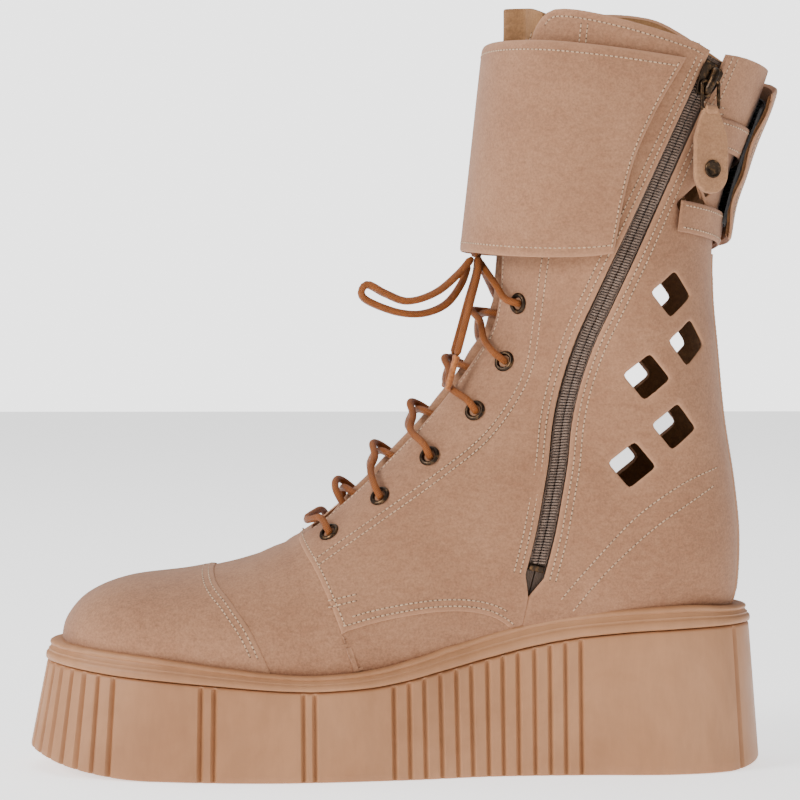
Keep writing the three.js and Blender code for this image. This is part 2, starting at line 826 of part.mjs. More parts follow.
function cutUpper(blank) {
  const [near, far] = [-120, 120];
  const lateralSeam = sideLine([LATERAL_SEAM_TOP, ...ZIP_LINE], LATERAL, 20);
  const seams = [
    seamWall(TOE_SEAM, near, far),
    seamWall(QUARTER_EDGE, near, far),
    seamWall(COLLAR_SEAM, near, far),
    strip(ZIP, -ZIP_SLOT / 2, ZIP_SLOT / 2, LEATHER, -2 * LEATHER),
    strip(lateralSeam, -SEAM / 2, SEAM / 2, LEATHER, -2 * LEATHER),
    throatCutter(),
  ];
  const zipFoot = ZIP_LINE.at(-1);
  const belowZip = [[zipFoot[0] + 1, zipFoot[1] + 4], zipFoot, [zipFoot[0] - 4, zipFoot[1] - 34]];
  seams.push(seamWall(belowZip, near, far));
  for (const side of [MEDIAL, LATERAL]) {
    const [y0, y1] = [side * BACKSTAY_HALF, side * (BACKSTAY_HALF + SEAM)].sort((a, b) => a - b);
    seams.push(boxBetween([100 * SCALE.x, y0, 40], [170 * SCALE.x, y1, 248.5 * SCALE.z]));
    for (const [x, z] of DIAMONDS) seams.push(diamondCutter(x, z, side));
    for (const [x, z] of EYELETS) seams.push(eyeletHole(x, z, side));
  }
  const trims = [
    above(MEDIAL_TOP, near, 0.01),
    above(LATERAL_TOP, 0, far),
    layer([[-152, -FAR], [152, -FAR]], WELT_LINE, 0, GAP, -150, 150, 90),
  ];
  return [...seams, ...trims].reduce((left, cutter) => left.subtract(cutter), blank);
}

function eyeletPlace(x, z, side) {
  const { v, r } = locate(x, z, side);
  return standAt(surface(v, r), normalAt(v, r), new THREE.Vector3(0, 0, 1));
}

function eyeletHole(x, z, side) {
  const radius = EYELET_BORE + EYELET_WALL + 1.2 * GAP;
  const hole = new THREE.CylinderGeometry(radius, radius, 3 * LEATHER, 12).rotateX(Math.PI / 2);
  return moved(solidOf(hole.translate(0, 0, -LEATHER / 2)), eyeletPlace(x, z, side));
}

const PANELS = {
  toe_cap: [-95, 60, MEDIAL],
  vamp: [-45, 60, MEDIAL],
  medial_front_quarter: [45, 110, MEDIAL],
  medial_rear_quarter: [100, 100, MEDIAL],
  lateral_front_quarter: [45, 110, LATERAL],
  lateral_rear_quarter: [100, 100, LATERAL],
  backstay: [130, 150, LATERAL],
  rear_collar: [135, 258, LATERAL],
};

// Bodies of the cut shell, named by a point that each panel covers.
function makePanels() {
  const bodies = cutUpper(shell(0, -LEATHER, 0, LAST_SECTION)).decompose();
  bodies.sort((a, b) => b.volume() - a.volume());
  const panels = {};
  for (const [name, [x, z, side]] of Object.entries(PANELS)) {
    const reach = side === MEDIAL ? [-90, -0.5] : [0.5, 90];
    const spread = name === "backstay" ? 14 : 2;
    const low = [(x - spread) * SCALE.x, name === "backstay" ? -3 : reach[0], (z - 2) * SCALE.z];
    const high = [(x + spread) * SCALE.x, name === "backstay" ? 3 : reach[1], (z + 2) * SCALE.z];
    const probe = boxBetween(low, high);
    panels[name] = bodies.find((body) => body.intersect(probe).volume() > 0.5);
    addNode(name, panels[name], NUBUCK);
  }
}

function makeStiffeners() {
  const outer = -LEATHER - GAP;
  const aboveWelt = layer(WELT_LINE, [[-152, 400], [152, 400]], 2 * GAP, 0, -150, 150, 90);
  const puff = shell(outer, outer - PUFF_THICKNESS, 0, 5);
  const toeOnly = sidePrism(scaled([[-140, 20], [-64, 20], [-80, 90], [-140, 90]]), -90, 90);
  addNode("toe_puff", puff.intersect(aboveWelt).intersect(toeOnly), STIFFENER);
  const counter = shell(outer, outer - COUNTER_THICKNESS, 8, 15);
  const heelOnly = sidePrism(scaled([[72, 40], [150, 40], [150, 104], [116, 104]]), -90, 90);
  addNode("heel_counter", counter.intersect(aboveWelt).intersect(heelOnly), STIFFENER);
}

// The tongue: deep behind the lacing edges, full between them.
const TONGUE_DEPTH = LEATHER + 2 * EYELET_FLANGE + LACE_DIAMETER + 3 * GAP;
function makeTongue() {
  const rows = [5.35, 5.6, 5.9, 6.3, 6.8, 7.4, 8, 9, 10, 11, 12, 13, 14, 15, 16, 17, 18, 19, 19.85];
  const across = steps(-1, 1, 12);
  const place = (v, u, drop) => {
    const half = lerp(17, 27, Math.min(Math.max((v - 5.3) / 10, 0), 1)) * SCALE.y;
    const target = Math.abs(u) * half;
    const under = -LEATHER - 2 * GAP - 0.2;
    const open = Math.min(Math.max((v - 6.05) / 0.8, 0), 1);
    const edge = Math.min(Math.max((target / SCALE.y - 3) / 6.5, 0), 1);
    const bulge = lerp(under, 0.4, open);
    const depth = lerp(bulge, -TONGUE_DEPTH, edge * edge * (3 - 2 * edge));
    return surface(v, ringBeside(v, u * half), depth - drop).toArray();
  };
  const grid = (drop) => rows.map((v) => across.map((u) => place(v, u, drop)));
  addNode("tongue", sheetSolid(grid(0), grid(TONGUE_LEATHER)), NUBUCK);
}

function makeEyelets() {
  const bore = EYELET_BORE;
  const barrel = bore + EYELET_WALL;
  const seat = 2 * GAP;
  const top = seat + EYELET_FLANGE;
  const low = -LEATHER - 2 * GAP - EYELET_FLANGE;
  const inner = EYELET_RADIUS - 0.4;
  const spool = lathe([
    [bore, low],
    [inner, low],
    [inner, low + EYELET_FLANGE],
    [barrel, low + EYELET_FLANGE],
    [barrel, seat],
    [EYELET_RADIUS, seat],
    [EYELET_RADIUS - 0.4, top],
    [bore, top],
    [bore, low],
  ]);
  for (const [side, name] of [[MEDIAL, "medial"], [LATERAL, "lateral"]]) {
    EYELETS.forEach(([x, z], i) => {
      addNode(`${name}_eyelet_${i + 1}`, moved(spool, eyeletPlace(x, z, side)), BRASS);
    });
  }
}

// ---------------------------------------------------------------- side zip

const UNDER_LEATHER = -LEATHER - 2 * GAP;
const COIL_TOP = UNDER_LEATHER + GAP + COIL_THICKNESS;

function zipRun(from, to) {
  return ZIP.filter(({ point }) => point.z >= from * SCALE.z && point.z <= to * SCALE.z);
}

function makeZip() {
  const half = ZIP_WIDTH / 2;
  for (const [sign, name] of [[1, "front"], [-1, "rear"]]) {
    const sides = (near, far) => (sign < 0 ? [-far, -near] : [near, far]);
    const middle = (sign * TAPE_WIDTH) / 2;
    const across = [...sides(TAPE_GAP, TAPE_WIDTH), middle].sort((a, b) => a - b);
    const run = zipRun(...TAPE_HEIGHTS);
    const grid = (out) => run.map((sample, i) => across.map((w) => besideZip(run, i, w, out)));
    const tape = sheetSolid(grid(UNDER_LEATHER), grid(UNDER_LEATHER - TAPE_THICKNESS));
    addNode(`zip_tape_${name}`, tape, ZIP_TAPE);
    const row = ZIP.slice(ZIP_TOP, -ZIP_FOOT);
    const coil = strip(row, ...sides(TAPE_GAP, half), COIL_TOP, UNDER_LEATHER + GAP);
    addNode(`zip_coil_${name}`, coil, ZIP_COIL);
  }
  const foot = between(ZIP.at(-ZIP_FOOT), ZIP.at(-ZIP_FOOT + 1), 0.1, 0.7);
  addNode("zip_bottom_stop", strip(foot, -half, half, COIL_TOP, UNDER_LEATHER + GAP), BRASS);
  const head = between(ZIP[ZIP_TOP - 1], ZIP[ZIP_TOP], 0.35, 0.85);
  addNode("zip_top_stop", strip(head, -half, half, COIL_TOP, UNDER_LEATHER + GAP), BRASS);
}

// A point under the leather, a given distance beside the zip's line.
function besideZip(run, i, w, out) {
  const before = run[Math.max(i - 1, 0)].point;
  const after = run[Math.min(i + 1, run.length - 1)].point;
  const { point, normal } = run[i];
  const across = after.clone().sub(before).cross(normal).normalize();
  const p = point.clone().addScaledVector(across, w);
  const bulge = onSurface(point.x, point.z, MEDIAL, 0).sub(point).dot(normal);
  return onSurface(p.x, p.z, MEDIAL, out - Math.max(bulge, 0) - 0.2).toArray();
}

// Two samples between two samples, at the given shares of the way.
function between(a, b, from, to) {
  return [from, to].map((f) => ({
    point: a.point.clone().lerp(b.point, f),
    normal: a.normal.clone().lerp(b.normal, f).normalize(),
  }));
}

// The slider's frame: origin on the zip, X across it, Y up along it, Z outward.
function sliderFrame() {
  const high = ZIP[ZIP_TOP];
  const low = ZIP[ZIP_TOP + 6];
  const up = high.point.clone().sub(low.point).normalize();
  const across = up.clone().cross(high.normal).normalize();
  const out = across.clone().cross(up).normalize();
  const point = high.point.clone().addScaledVector(up, 1 - SLIDER_LENGTH / 2);
  return new THREE.Matrix4().makeBasis(across, up, out).setPosition(point);
}

// A plan shape drawn in X and Y, standing from z0 to z1.
function plate(points, z0, z1) {
  const shape = new THREE.Shape(points.map(([x, y]) => new THREE.Vector2(x, y)));
  const geometry = new THREE.ExtrudeGeometry(shape, { depth: z1 - z0, bevelEnabled: false });
  return solidOf(geometry.translate(0, 0, z0));
}

function makeSlider() {
  const roof = SLIDER_LIFT;
  const half = SLIDER_WIDTH / 2;
  const long = SLIDER_LENGTH / 2;
  const body = plate(
    [
      [-half + 1.6, -long],
      [half - 1.6, -long],
      [half - 0.4, -2],
      [half, long - 1],
      [half - 1.5, long],
      [-half + 1.5, long],
      [-half, long - 1],
      [-half + 0.4, -2],
    ],
    roof,
    roof + SLIDER_PLATE,
  );
  const seat = roof + SLIDER_PLATE - 0.05;
  const bridgeTop = seat + WIRE + 2.2;
  const post = (y) => boxBetween([-1.3, y - 0.8, seat], [1.3, y + 0.8, bridgeTop]);
  const beam = boxBetween([-1.3, -BRIDGE_HALF, bridgeTop - 1.2], [1.3, BRIDGE_HALF, bridgeTop]);
  const keel = boxBetween([-2.2, -long + 1, COIL_TOP + SLIDER_CLEARANCE], [2.4, long - 1, roof + 0.05]);
  const solid = union([body, keel, post(-BRIDGE_HALF), post(BRIDGE_HALF), beam]);
  addNode("zip_slider", moved(solid, sliderFrame()), BRASS);
}

// The puller hangs from the middle of the slider's bridge: X along its pin, Y up, Z outward.
function pullerFrame() {
  const slider = sliderFrame();
  const lift = SLIDER_LIFT + SLIDER_PLATE + 0.35 + WIRE / 2;
  const pin = new THREE.Vector3(0, 0, lift).applyMatrix4(slider);
  const out = new THREE.Vector3().setFromMatrixColumn(slider, 2);
  const level = new THREE.Vector3(0, 0, 1).cross(out).normalize();
  const up = new THREE.Vector3(0, 0, 1);
  return new THREE.Matrix4().makeBasis(level, up, level.clone().cross(up)).setPosition(pin);
}

function makePuller() {
  const frame = pullerFrame();
  const half = PULLER_WIDTH / 2;
  const shape = new THREE.Shape();
  shape.moveTo(-half, WIRE / 2);
  shape.lineTo(-half, -PULLER_LENGTH - WIRE / 2);
  shape.lineTo(half, -PULLER_LENGTH - WIRE / 2);
  shape.lineTo(half, WIRE / 2);
  const hole = new THREE.Path();
  hole.moveTo(half - WIRE, -WIRE / 2);
  hole.lineTo(half - WIRE, -PULLER_LENGTH + WIRE / 2);
  hole.lineTo(-half + WIRE, -PULLER_LENGTH + WIRE / 2);
  hole.lineTo(-half + WIRE, -WIRE / 2);
  shape.holes.push(hole);
  const ring = new THREE.ExtrudeGeometry(shape, { depth: WIRE, bevelEnabled: false });
  addNode("zip_puller", moved(solidOf(ring.translate(0, 0, -WIRE / 2)), frame), BRASS);

  const neck = PULLER_WIDTH / 2 - WIRE - GAP;
  const t = TAB_THICKNESS / 2;
  const bottom = -PULLER_LENGTH;
  const paddle = new THREE.Shape();
  paddle.moveTo(-neck, bottom + t);
  paddle.lineTo(-neck, bottom - 2.4);
  paddle.quadraticCurveTo(-TAB_WIDTH / 2, bottom - 5, -TAB_WIDTH / 2, bottom - TAB_LENGTH * 0.6);
  paddle.quadraticCurveTo(-TAB_WIDTH / 2, bottom - TAB_LENGTH, 0, bottom - TAB_LENGTH);
  paddle.quadraticCurveTo(TAB_WIDTH / 2, bottom - TAB_LENGTH, TAB_WIDTH / 2, bottom - TAB_LENGTH * 0.6);
  paddle.quadraticCurveTo(TAB_WIDTH / 2, bottom - 5, neck, bottom - 2.4);
  paddle.lineTo(neck, bottom + t);
  const options = { depth: 2 * t, bevelEnabled: false, curveSegments: 5 };
  const leaf = solidOf(new THREE.ExtrudeGeometry(paddle, options).translate(0, 0, -t));
  const barBore = WIRE * Math.SQRT1_2 + GAP;
  const round = (radius, length) =>
    new THREE.CylinderGeometry(radius, radius, length, 12).rotateZ(Math.PI / 2).translate(0, bottom, 0);
  const barHole = solidOf(round(barBore, 2 * TAB_WIDTH));
  const rivetAt = bottom - TAB_LENGTH * 0.68;
  const rivetHole = new THREE.CylinderGeometry(RIVET_RADIUS / 2 + GAP, RIVET_RADIUS / 2 + GAP, 9, 12);
  const holed = leaf
    .add(solidOf(round(barBore + 1, 2 * neck)))
    .subtract(barHole)
    .subtract(solidOf(rivetHole.rotateX(Math.PI / 2).translate(0, rivetAt, 0)));
  addNode("pull_tab", moved(holed, frame), NUBUCK);

  const cap = t + GAP;
  const rivet = lathe([
    [0.9, -cap - 0.5],
    [RIVET_RADIUS - 0.5, -cap - 0.5],
    [RIVET_RADIUS, -cap],
    [RIVET_RADIUS / 2, -cap],
    [RIVET_RADIUS / 2, cap],
    [RIVET_RADIUS, cap],
    [RIVET_RADIUS - 0.5, cap + 0.7],
    [0.9, cap + 0.7],
    [0.9, -cap - 0.5],
  ]);
  const there = new THREE.Matrix4().makeTranslation(0, rivetAt, 0).premultiply(frame);
  addNode("pull_tab_rivet", moved(rivet, there), BRASS);
}

// ---------------------------------------------------------------- cuff and straps

// Samples round the back of the shaft between two heights, as r runs on past the back line.
function roundBack(fromR, toR, fromZ, toZ, count) {
  return steps(0, 1, count).map((f) => {
    const r = lerp(fromR, toR, f);
    const ring = r < -1 ? r + 2 : r;
    return sampleAt(sectionAtHeight(ring, lerp(fromZ, toZ, f) * SCALE.z), ring);
  });
}

// Each strap's name, its start as a share round the shaft, and its heights there and at its end.
const STRAPS = [
  ["upper_strap", -0.74, 246, 236],
  ["lower_strap", -0.69, 213.5, 204],
];
const STRAP_END = -1.3;
const STRAP_STEPS = 14;

function makeStraps() {
  const half = STRAP_WIDTH / 2;
  for (const [name, start, z0, z1] of STRAPS) {
    const samples = roundBack(start, STRAP_END, z0, z1, STRAP_STEPS);
    addNode(name, strip(samples, -half, half, STRAP_LIFT + STRAP_LEATHER, STRAP_LIFT), NUBUCK);
  }
}

// The cuff is a sheet between a lower and an upper edge. Round the shaft it stands off by
// different amounts, most at the front where the laces lie under it.
const CUFF_REAR_EDGE = scaled([
  [81, 199],
  [107.5, 273],
]);
const [CUFF_LOW, CUFF_HIGH] = CUFF_REAR_EDGE.map(([x, z]) => locate(x, z, MEDIAL).r);
const CUFF_RINGS = [
  [CUFF_LOW, CUFF_HIGH, 199, 273, 0.9, 0.9],
  [CUFF_LOW * 0.85, CUFF_HIGH * 0.85, 198, 275, 2.4, 1.4],
  [CUFF_LOW * 0.66, CUFF_HIGH * 0.66, 198, 277, 6, 3.4],
  [CUFF_LOW * 0.45, CUFF_HIGH * 0.45, 198.5, 278.5, 10, 6],
  [CUFF_LOW * 0.22, CUFF_HIGH * 0.22, 199.5, 279, 13, 8.5],
  [0, 0, 200, 279, 14, 9],
  [0.13, 0.18, 200, 279, 13, 8.5],
  [0.26, 0.34, 200, 278.5, 10, 6],
  [0.4, 0.46, 200, 277.5, 5, 3.4],
  [0.54, 0.58, 200.5, 276, 3.4, 3],
  [0.66, 0.68, 201.5, 274.5, 3.4, 3.4],
  [0.76, 0.77, 203, 273, 4, 4],
];
const TAIL_RINGS = [
  [0.7632, 0.7732, 203, 272.5, 4, 4],
  [0.86, 0.865, 203.5, 271, 4.8, 4.8],
  [0.95, 0.95, 204, 269, 4.9, 4.9],
  [1.03, 1.03, 205, 266, 5, 5],
  [1.1, 1.1, 206, 263, 5.1, 5.1],
];

function wrapSheet(rings, shift, thickness, trim = 0) {
  const levels = steps(0, 1, 3);
  const place = (ring, f, extra) => {
    const [low, high, z0, z1, out0, out1] = ring;
    const wrapped = lerp(low, high, f);
    const r = wrapped > 1 ? wrapped - 2 : wrapped;
    const z = lerp(z0 + trim, z1 - trim, f) * SCALE.z;
    return surface(sectionAtHeight(r, z), r, lerp(out0, out1, f) + extra).toArray();
  };
  const grid = (extra) => rings.map((ring) => levels.map((f) => place(ring, f, extra)));
  return sheetSolid(grid(shift + thickness), grid(shift));
}

function makeCuff() {
  addNode("cuff", wrapSheet(CUFF_RINGS, 0, CUFF_LEATHER), NUBUCK);
  addNode("cuff_tail", wrapSheet(TAIL_RINGS, 0, CUFF_LEATHER), NUBUCK);
  const tape = wrapSheet(TAIL_RINGS.slice(1), -GAP - HOOK_THICKNESS, HOOK_THICKNESS, 6);
  addNode("hook_tape", tape, HOOK_TAPE);
}

// ---------------------------------------------------------------- lace

const LACE_RADIUS = LACE_DIAMETER / 2;
const OVER = 2 * GAP + EYELET_FLANGE + 0.3 + LACE_RADIUS;
const UNDER = -LEATHER - 2 * GAP - EYELET_FLANGE - 0.3 - LACE_RADIUS;

function onSurface(x, z, side, out) {
  const { v, r } = locate(x, z, side);
  return surface(v, r, out);
}

// One lace end's way from the lowest pair to the knot: through each eyelet from inside out,
// over the lacing edge, across the tongue and under the other edge.
function laceRun(startSide, rise) {
  const points = [];
  let side = startSide;
  EYELETS.forEach(([x, z], i) => {
    const next = EYELETS[i + 1] ?? [x + 4, z + 24];
    const run = new THREE.Vector2(next[0] - x, next[1] - z).normalize();
    const at = (along, toward, out) =>
      points.push(
        onSurface(x + along * run.x - toward * run.y, z + along * run.y + toward * run.x, side, out),
      );
    const beside = (share, y, out) => {
      const v = sectionAtHeightFront(z + 8 + (next[1] - z) * share);
      points.push(surface(v, ringBeside(v, side * y), out));
    };
    if (i === 0) {
      beside(-0.45, 1.3, 2 + LACE_RADIUS);
      beside(-0.45, 4, 2 + LACE_RADIUS);
      beside(-0.45, 8, OVER + 0.6);
      beside(-0.35, 14, OVER + 1.2);
      at(0.6, 2.2, OVER + 2.2);
      at(0.2, -0.2, OVER - 0.6);
      at(0, 0, -LEATHER / 2);
      at(0.3, 0.4, UNDER + 0.6);
      at(1.5, 3.4, UNDER);
      beside(0.1, 14, UNDER);
      beside(0.2, 11, UNDER + 0.9);
      beside(0.3, 7, rise(i) - 1.8);
    } else {
      at(-1.5, 3.4, UNDER);
      at(-0.3, 0.4, UNDER + 0.6);
      at(0, 0, -LEATHER / 2);
      at(0.2, -0.2, OVER - 0.6);
      at(1.6, 2.2, OVER + 2.2);
      beside(0.12, 15.5, OVER + 1.8);
      if (i < EYELETS.length - 1) beside(0.3, 8, OVER + 1.4);
    }
    if (i === EYELETS.length - 1) return;
    beside(0.42, -0.01, rise(i) + 0.6);
    side = -side;
    beside(0.5, 7, rise(i) - 1.8);
    beside(0.58, 11, UNDER + 0.9);
    beside(0.64, 15, UNDER - 0.1);
  });
  return points;
}

// The section whose front point lies at a height.
function sectionAtHeightFront(z) {
  let low = 0;
  let high = LAST_SECTION;
  for (let i = 0; i < 40; i++) {
    const v = (low + high) / 2;
    if (section(v).front[1] < z) low = v;
    else high = v;
  }
  return (low + high) / 2;
}

const KNOT = new THREE.Vector3(31, 0, 202);
const KNOT_RADIUS = 4.4;
const KNOT_ENTRY = 1.9;

// Hand-set points of the free lace ends, from the knot outward, for the medial side.
const BOW_LOOP = [
  [29, -5.2, 198],
  [24, -8, 192],
  [15, -12, 184.5],
  [4, -15, 181],
  [-5, -17, 184],
  [-12, -18, 187.5],
  [-14.5, -18.4, 184],
  [-11, -18, 180.6],
  [0, -15.5, 176.6],
  [10, -12.6, 176.2],
  [19, -9.4, 180],
  [25, -5.4, 188],
  [27.6, -2.6, 195.4],
];
const LACE_TAIL = [
  [31.5, -5.6, 198.4],
  [31, -10, 192],
  [28, -15.4, 181],
  [25.4, -17.6, 171],
  [22.4, -19.6, 160],
];
const AGLET_LENGTH = 14;

function freeEnd(points, side) {
  return points.map(([x, y, z]) => new THREE.Vector3(x, -side * y, z));
}

function makeLaces() {
  for (const [side, name] of [[MEDIAL, "medial"], [LATERAL, "lateral"]]) {
    const over = (i) => (i % 2 === 0) === (side === MEDIAL);
    const rise = (i) => 1.3 + LACE_RADIUS + (over(i) ? LACE_DIAMETER + 4 * GAP : 0);
    const run = laceRun(side, rise);
    const beside = over(EYELETS.length - 2) ? KNOT_ENTRY : -KNOT_ENTRY;
    run.push(new THREE.Vector3(KNOT.x + 1, beside, KNOT.z - KNOT_RADIUS - 3 * GAP));
    addNode(`lace_from_${name}_side`, tube(run, LACE_DIAMETER), LACE);
    addNode(`bow_loop_${name}`, tube(freeEnd(BOW_LOOP, side), LACE_DIAMETER, 2), LACE);
    const tail = freeEnd(LACE_TAIL, side);
    addNode(`lace_tail_${name}`, tube(tail, LACE_DIAMETER, 2), LACE);
    const [before, end] = tail.slice(-2);
    const down = end.clone().sub(before).normalize();
    const aglet = new THREE.CylinderGeometry(LACE_RADIUS, LACE_RADIUS * 0.8, AGLET_LENGTH, 10);
    aglet.rotateX(Math.PI / 2);
    const centre = end.clone().addScaledVector(down, AGLET_LENGTH / 2 + GAP);
    const place = standAt(centre, down.clone().negate(), new THREE.Vector3(1, 0, 0));
    addNode(`aglet_${name}`, moved(solidOf(aglet), place), BRASS);
  }
  const knot = new THREE.SphereGeometry(KNOT_RADIUS, 12, 8).scale(0.9, 1, 1.15);
  addNode("lace_knot", solidOf(knot.rotateX(Math.PI / 2).translate(...KNOT.toArray())), LACE);
}

makeSole();
makePanels();
makeStiffeners();
makeTongue();
makeEyelets();
makeZip();
makeSlider();
makePuller();
makeStraps();
makeCuff();
makeLaces();

// The origin goes to the middle of the base of everything but the laces.
const extent = new THREE.Box3();
for (const node of boot.children) {
  if (!/^(lace|bow|aglet)/.test(node.name)) extent.expandByObject(node);
}
const middle = extent.getCenter(new THREE.Vector3());
boot.position.set(-middle.x, -middle.y, -extent.min.z);

export default boot;
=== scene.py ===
import json
import math

import bmesh
import bpy
import numpy as np
from mathutils import Matrix, Vector


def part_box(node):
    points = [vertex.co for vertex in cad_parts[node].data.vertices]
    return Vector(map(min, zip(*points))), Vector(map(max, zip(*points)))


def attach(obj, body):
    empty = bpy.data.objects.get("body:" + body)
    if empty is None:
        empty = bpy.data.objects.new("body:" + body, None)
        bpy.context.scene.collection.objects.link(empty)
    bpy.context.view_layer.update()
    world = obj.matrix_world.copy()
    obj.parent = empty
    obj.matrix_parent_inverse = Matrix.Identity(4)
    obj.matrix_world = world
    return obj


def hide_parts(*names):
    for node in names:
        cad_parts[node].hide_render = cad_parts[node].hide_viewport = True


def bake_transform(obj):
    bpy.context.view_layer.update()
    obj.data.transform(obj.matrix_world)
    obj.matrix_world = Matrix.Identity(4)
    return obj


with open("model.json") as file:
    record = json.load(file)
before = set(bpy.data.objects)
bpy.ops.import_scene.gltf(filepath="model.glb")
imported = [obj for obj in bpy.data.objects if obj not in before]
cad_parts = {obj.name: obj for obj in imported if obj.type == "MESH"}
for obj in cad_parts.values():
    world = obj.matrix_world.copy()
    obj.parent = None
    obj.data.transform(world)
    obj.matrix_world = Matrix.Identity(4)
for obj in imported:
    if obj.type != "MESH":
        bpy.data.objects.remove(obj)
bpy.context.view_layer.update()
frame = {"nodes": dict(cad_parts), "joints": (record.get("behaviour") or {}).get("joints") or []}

SOLE_LOW, SOLE_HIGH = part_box("platform_sole")

# Lengths below are millimetres in the last's own frame: toe towards -X, heel towards +X,
# medial towards -Y, up +Z. The sole places that frame in the row's.
LAST_TOE, LAST_MIDDLE = -143.109, 0.1196
SHIFT = np.array([
    SOLE_LOW[0] * 1000 - LAST_TOE,
    (SOLE_LOW[1] + SOLE_HIGH[1]) * 500 - LAST_MIDDLE,
    0.0,
])
MEDIAL, LATERAL = -1, 1
SIDES = ((MEDIAL, "medial"), (LATERAL, "lateral"))


def to_row(points):
    """Millimetres on the last to metres in the row frame."""
    return (np.asarray(points, float) + SHIFT) * 0.001


# ---------------------------------------------------------------- the last

# Front and back point (x, z) of each cross-section, half widths at its widest, medial and
# lateral, and half widths of its bottom, from the toe over the heel and up the shaft.
SECTIONS = np.array([
    [-131, 49.5, -131, 47.8, 0, 0, 0, 0],
    [-128.5, 58, -127, 47, 17, 17, 16.5, 16.5],
    [-120.5, 66.5, -118, 46, 29, 29.5, 28, 28.5],
    [-105, 72.5, -102, 45, 38.5, 39, 37, 37.5],
    [-80, 75.8, -78, 42.5, 44.5, 45, 42.5, 43],
    [-56, 81.5, -48, 39, 46.5, 47, 44.5, 45],
    [-36, 91.5, -20, 38.5, 45, 46.5, 42, 44],
    [-17, 107.5, 8, 44, 41.5, 43.5, 37.5, 41],
    [0, 125, 40, 53.5, 38.5, 40, 31.5, 35.5],
    [15, 142, 75, 59, 37.5, 39, 28.5, 31.5],
    [27, 158.5, 108, 62, 37.5, 39, 25, 27],
    [35, 172, 126, 61.5, 37.5, 39, 13, 13.5],
    [38, 184, 131.5, 66, 38, 39.5, 0, 0],
    [39, 197, 133, 88, 39, 40.5, 0, 0],
    [39.5, 212, 131, 110, 40.5, 42, 0, 0],
    [40, 228, 127, 136, 42, 43.5, 0, 0],
    [40.5, 243, 124.5, 162, 43.5, 45, 0, 0],
    [41, 258, 122.5, 186, 44.5, 46, 0, 0],
    [41.5, 272, 123.5, 208, 45, 46.5, 0, 0],
    [42, 286, 130, 233, 45.5, 47, 0, 0],
    [42, 300, 141, 262, 46, 47.5, 0, 0],
    [42, 316, 150, 292, 46.5, 48, 0, 0],
    [42, 332, 156, 322, 47, 48.5, 0, 0],
], float)
HEEL_SECTION, LAST_SECTION = 12, 22
FULLNESS = 0.86
HALVINGS = 34


def spline(rows, u):
    """A smooth curve through evenly numbered rows, its end rows repeated."""
    u = np.clip(np.asarray(u, float), 0, len(rows) - 1)
    i = np.minimum(u.astype(int), len(rows) - 2)
    f = (u - i)[..., None]
    a = rows[np.maximum(i - 1, 0)]
    b, c = rows[i], rows[i + 1]
    d = rows[np.minimum(i + 2, len(rows) - 1)]
    return b + 0.5 * f * (c - a + f * (2 * a - 5 * b + 4 * c - d + f * (3 * (b - c) + d - a)))


def surface_point(v, r):
    """The last at section v and share r round it: 0 in front, 1 behind, negative medial."""
    v, r = np.broadcast_arrays(np.asarray(v, float), np.asarray(r, float))
    s = spline(SECTIONS, v)
    medial = r < 0
    widest = np.maximum(np.where(medial, s[..., 4], s[..., 5]), 1e-3)
    bottom = np.where(v >= HEEL_SECTION, 0, np.maximum(np.where(medial, s[..., 6], s[..., 7]), 0))
    end = math.pi - np.arcsin(np.minimum(bottom / widest, 1) ** (1 / FULLNESS))
    angle = np.abs(r) * end
    back = (1 - np.cos(angle)) / (1 - np.cos(end))
    y = widest * np.maximum(np.sin(angle), 0) ** FULLNESS * np.sign(r)
    x = s[..., 0] + (s[..., 2] - s[..., 0]) * back
    z = s[..., 1] + (s[..., 3] - s[..., 1]) * back
    return np.stack([x, y, z], -1)


def surface_normal(v, r):
    v, r = np.broadcast_arrays(np.asarray(v, float), np.asarray(r, float))
    v = np.maximum(v, 0.03)
    dv, dr = 0.02, 0.01
    along = surface_point(np.minimum(v + dv, LAST_SECTION), r) - surface_point(v - dv, r)
    ahead, behind = r + dr, r - dr
    closed = v >= HEEL_SECTION
    ahead = np.where(ahead > 1, np.where(closed, ahead - 2, 1), ahead)
    behind = np.where(behind < -1, np.where(closed, behind + 2, -1), behind)
    round_it = surface_point(v, ahead) - surface_point(v, behind)
    n = np.cross(along, round_it)
    return n / np.maximum(np.linalg.norm(n, axis=-1, keepdims=True), 1e-9)


def surface(v, r, out=0.0):
    return surface_point(v, r) + surface_normal(v, r) * np.asarray(out, float)[..., None]


def locate(x, z, side):
    """Section and share of the point that shows at (x, z) from the side."""
    x, z = np.broadcast_arrays(np.asarray(x, float), np.asarray(z, float))
    low, high = np.zeros(x.shape), np.full(x.shape, float(LAST_SECTION))
    for _ in range(HALVINGS):
        v = (low + high) / 2
        s = spline(SECTIONS, v)
        across = (s[..., 2] - s[..., 0]) * (z - s[..., 1]) - (s[..., 3] - s[..., 1]) * (x - s[..., 0])
        low, high = np.where(across > 0, v, low), np.where(across > 0, high, v)
    v = (low + high) / 2
    s = spline(SECTIONS, v)
    dx, dz = s[..., 2] - s[..., 0], s[..., 3] - s[..., 1]
    share = ((x - s[..., 0]) * dx + (z - s[..., 1]) * dz) / np.maximum(dx * dx + dz * dz, 1e-6)
    widest = np.maximum(s[..., 4 if side < 0 else 5], 1e-3)
    bottom = np.where(v >= HEEL_SECTION, 0, np.maximum(s[..., 6 if side < 0 else 7], 0))
    end = math.pi - np.arcsin(np.minimum(bottom / widest, 1) ** (1 / FULLNESS))
    angle = np.arccos(np.clip(1 - np.clip(share, 0, 1) * (1 - np.cos(end)), -1, 1))
    return v, side * angle / end


def on_side(x, z, side, out=0.0):
    v, r = locate(x, z, side)
    return surface(v, r, out)


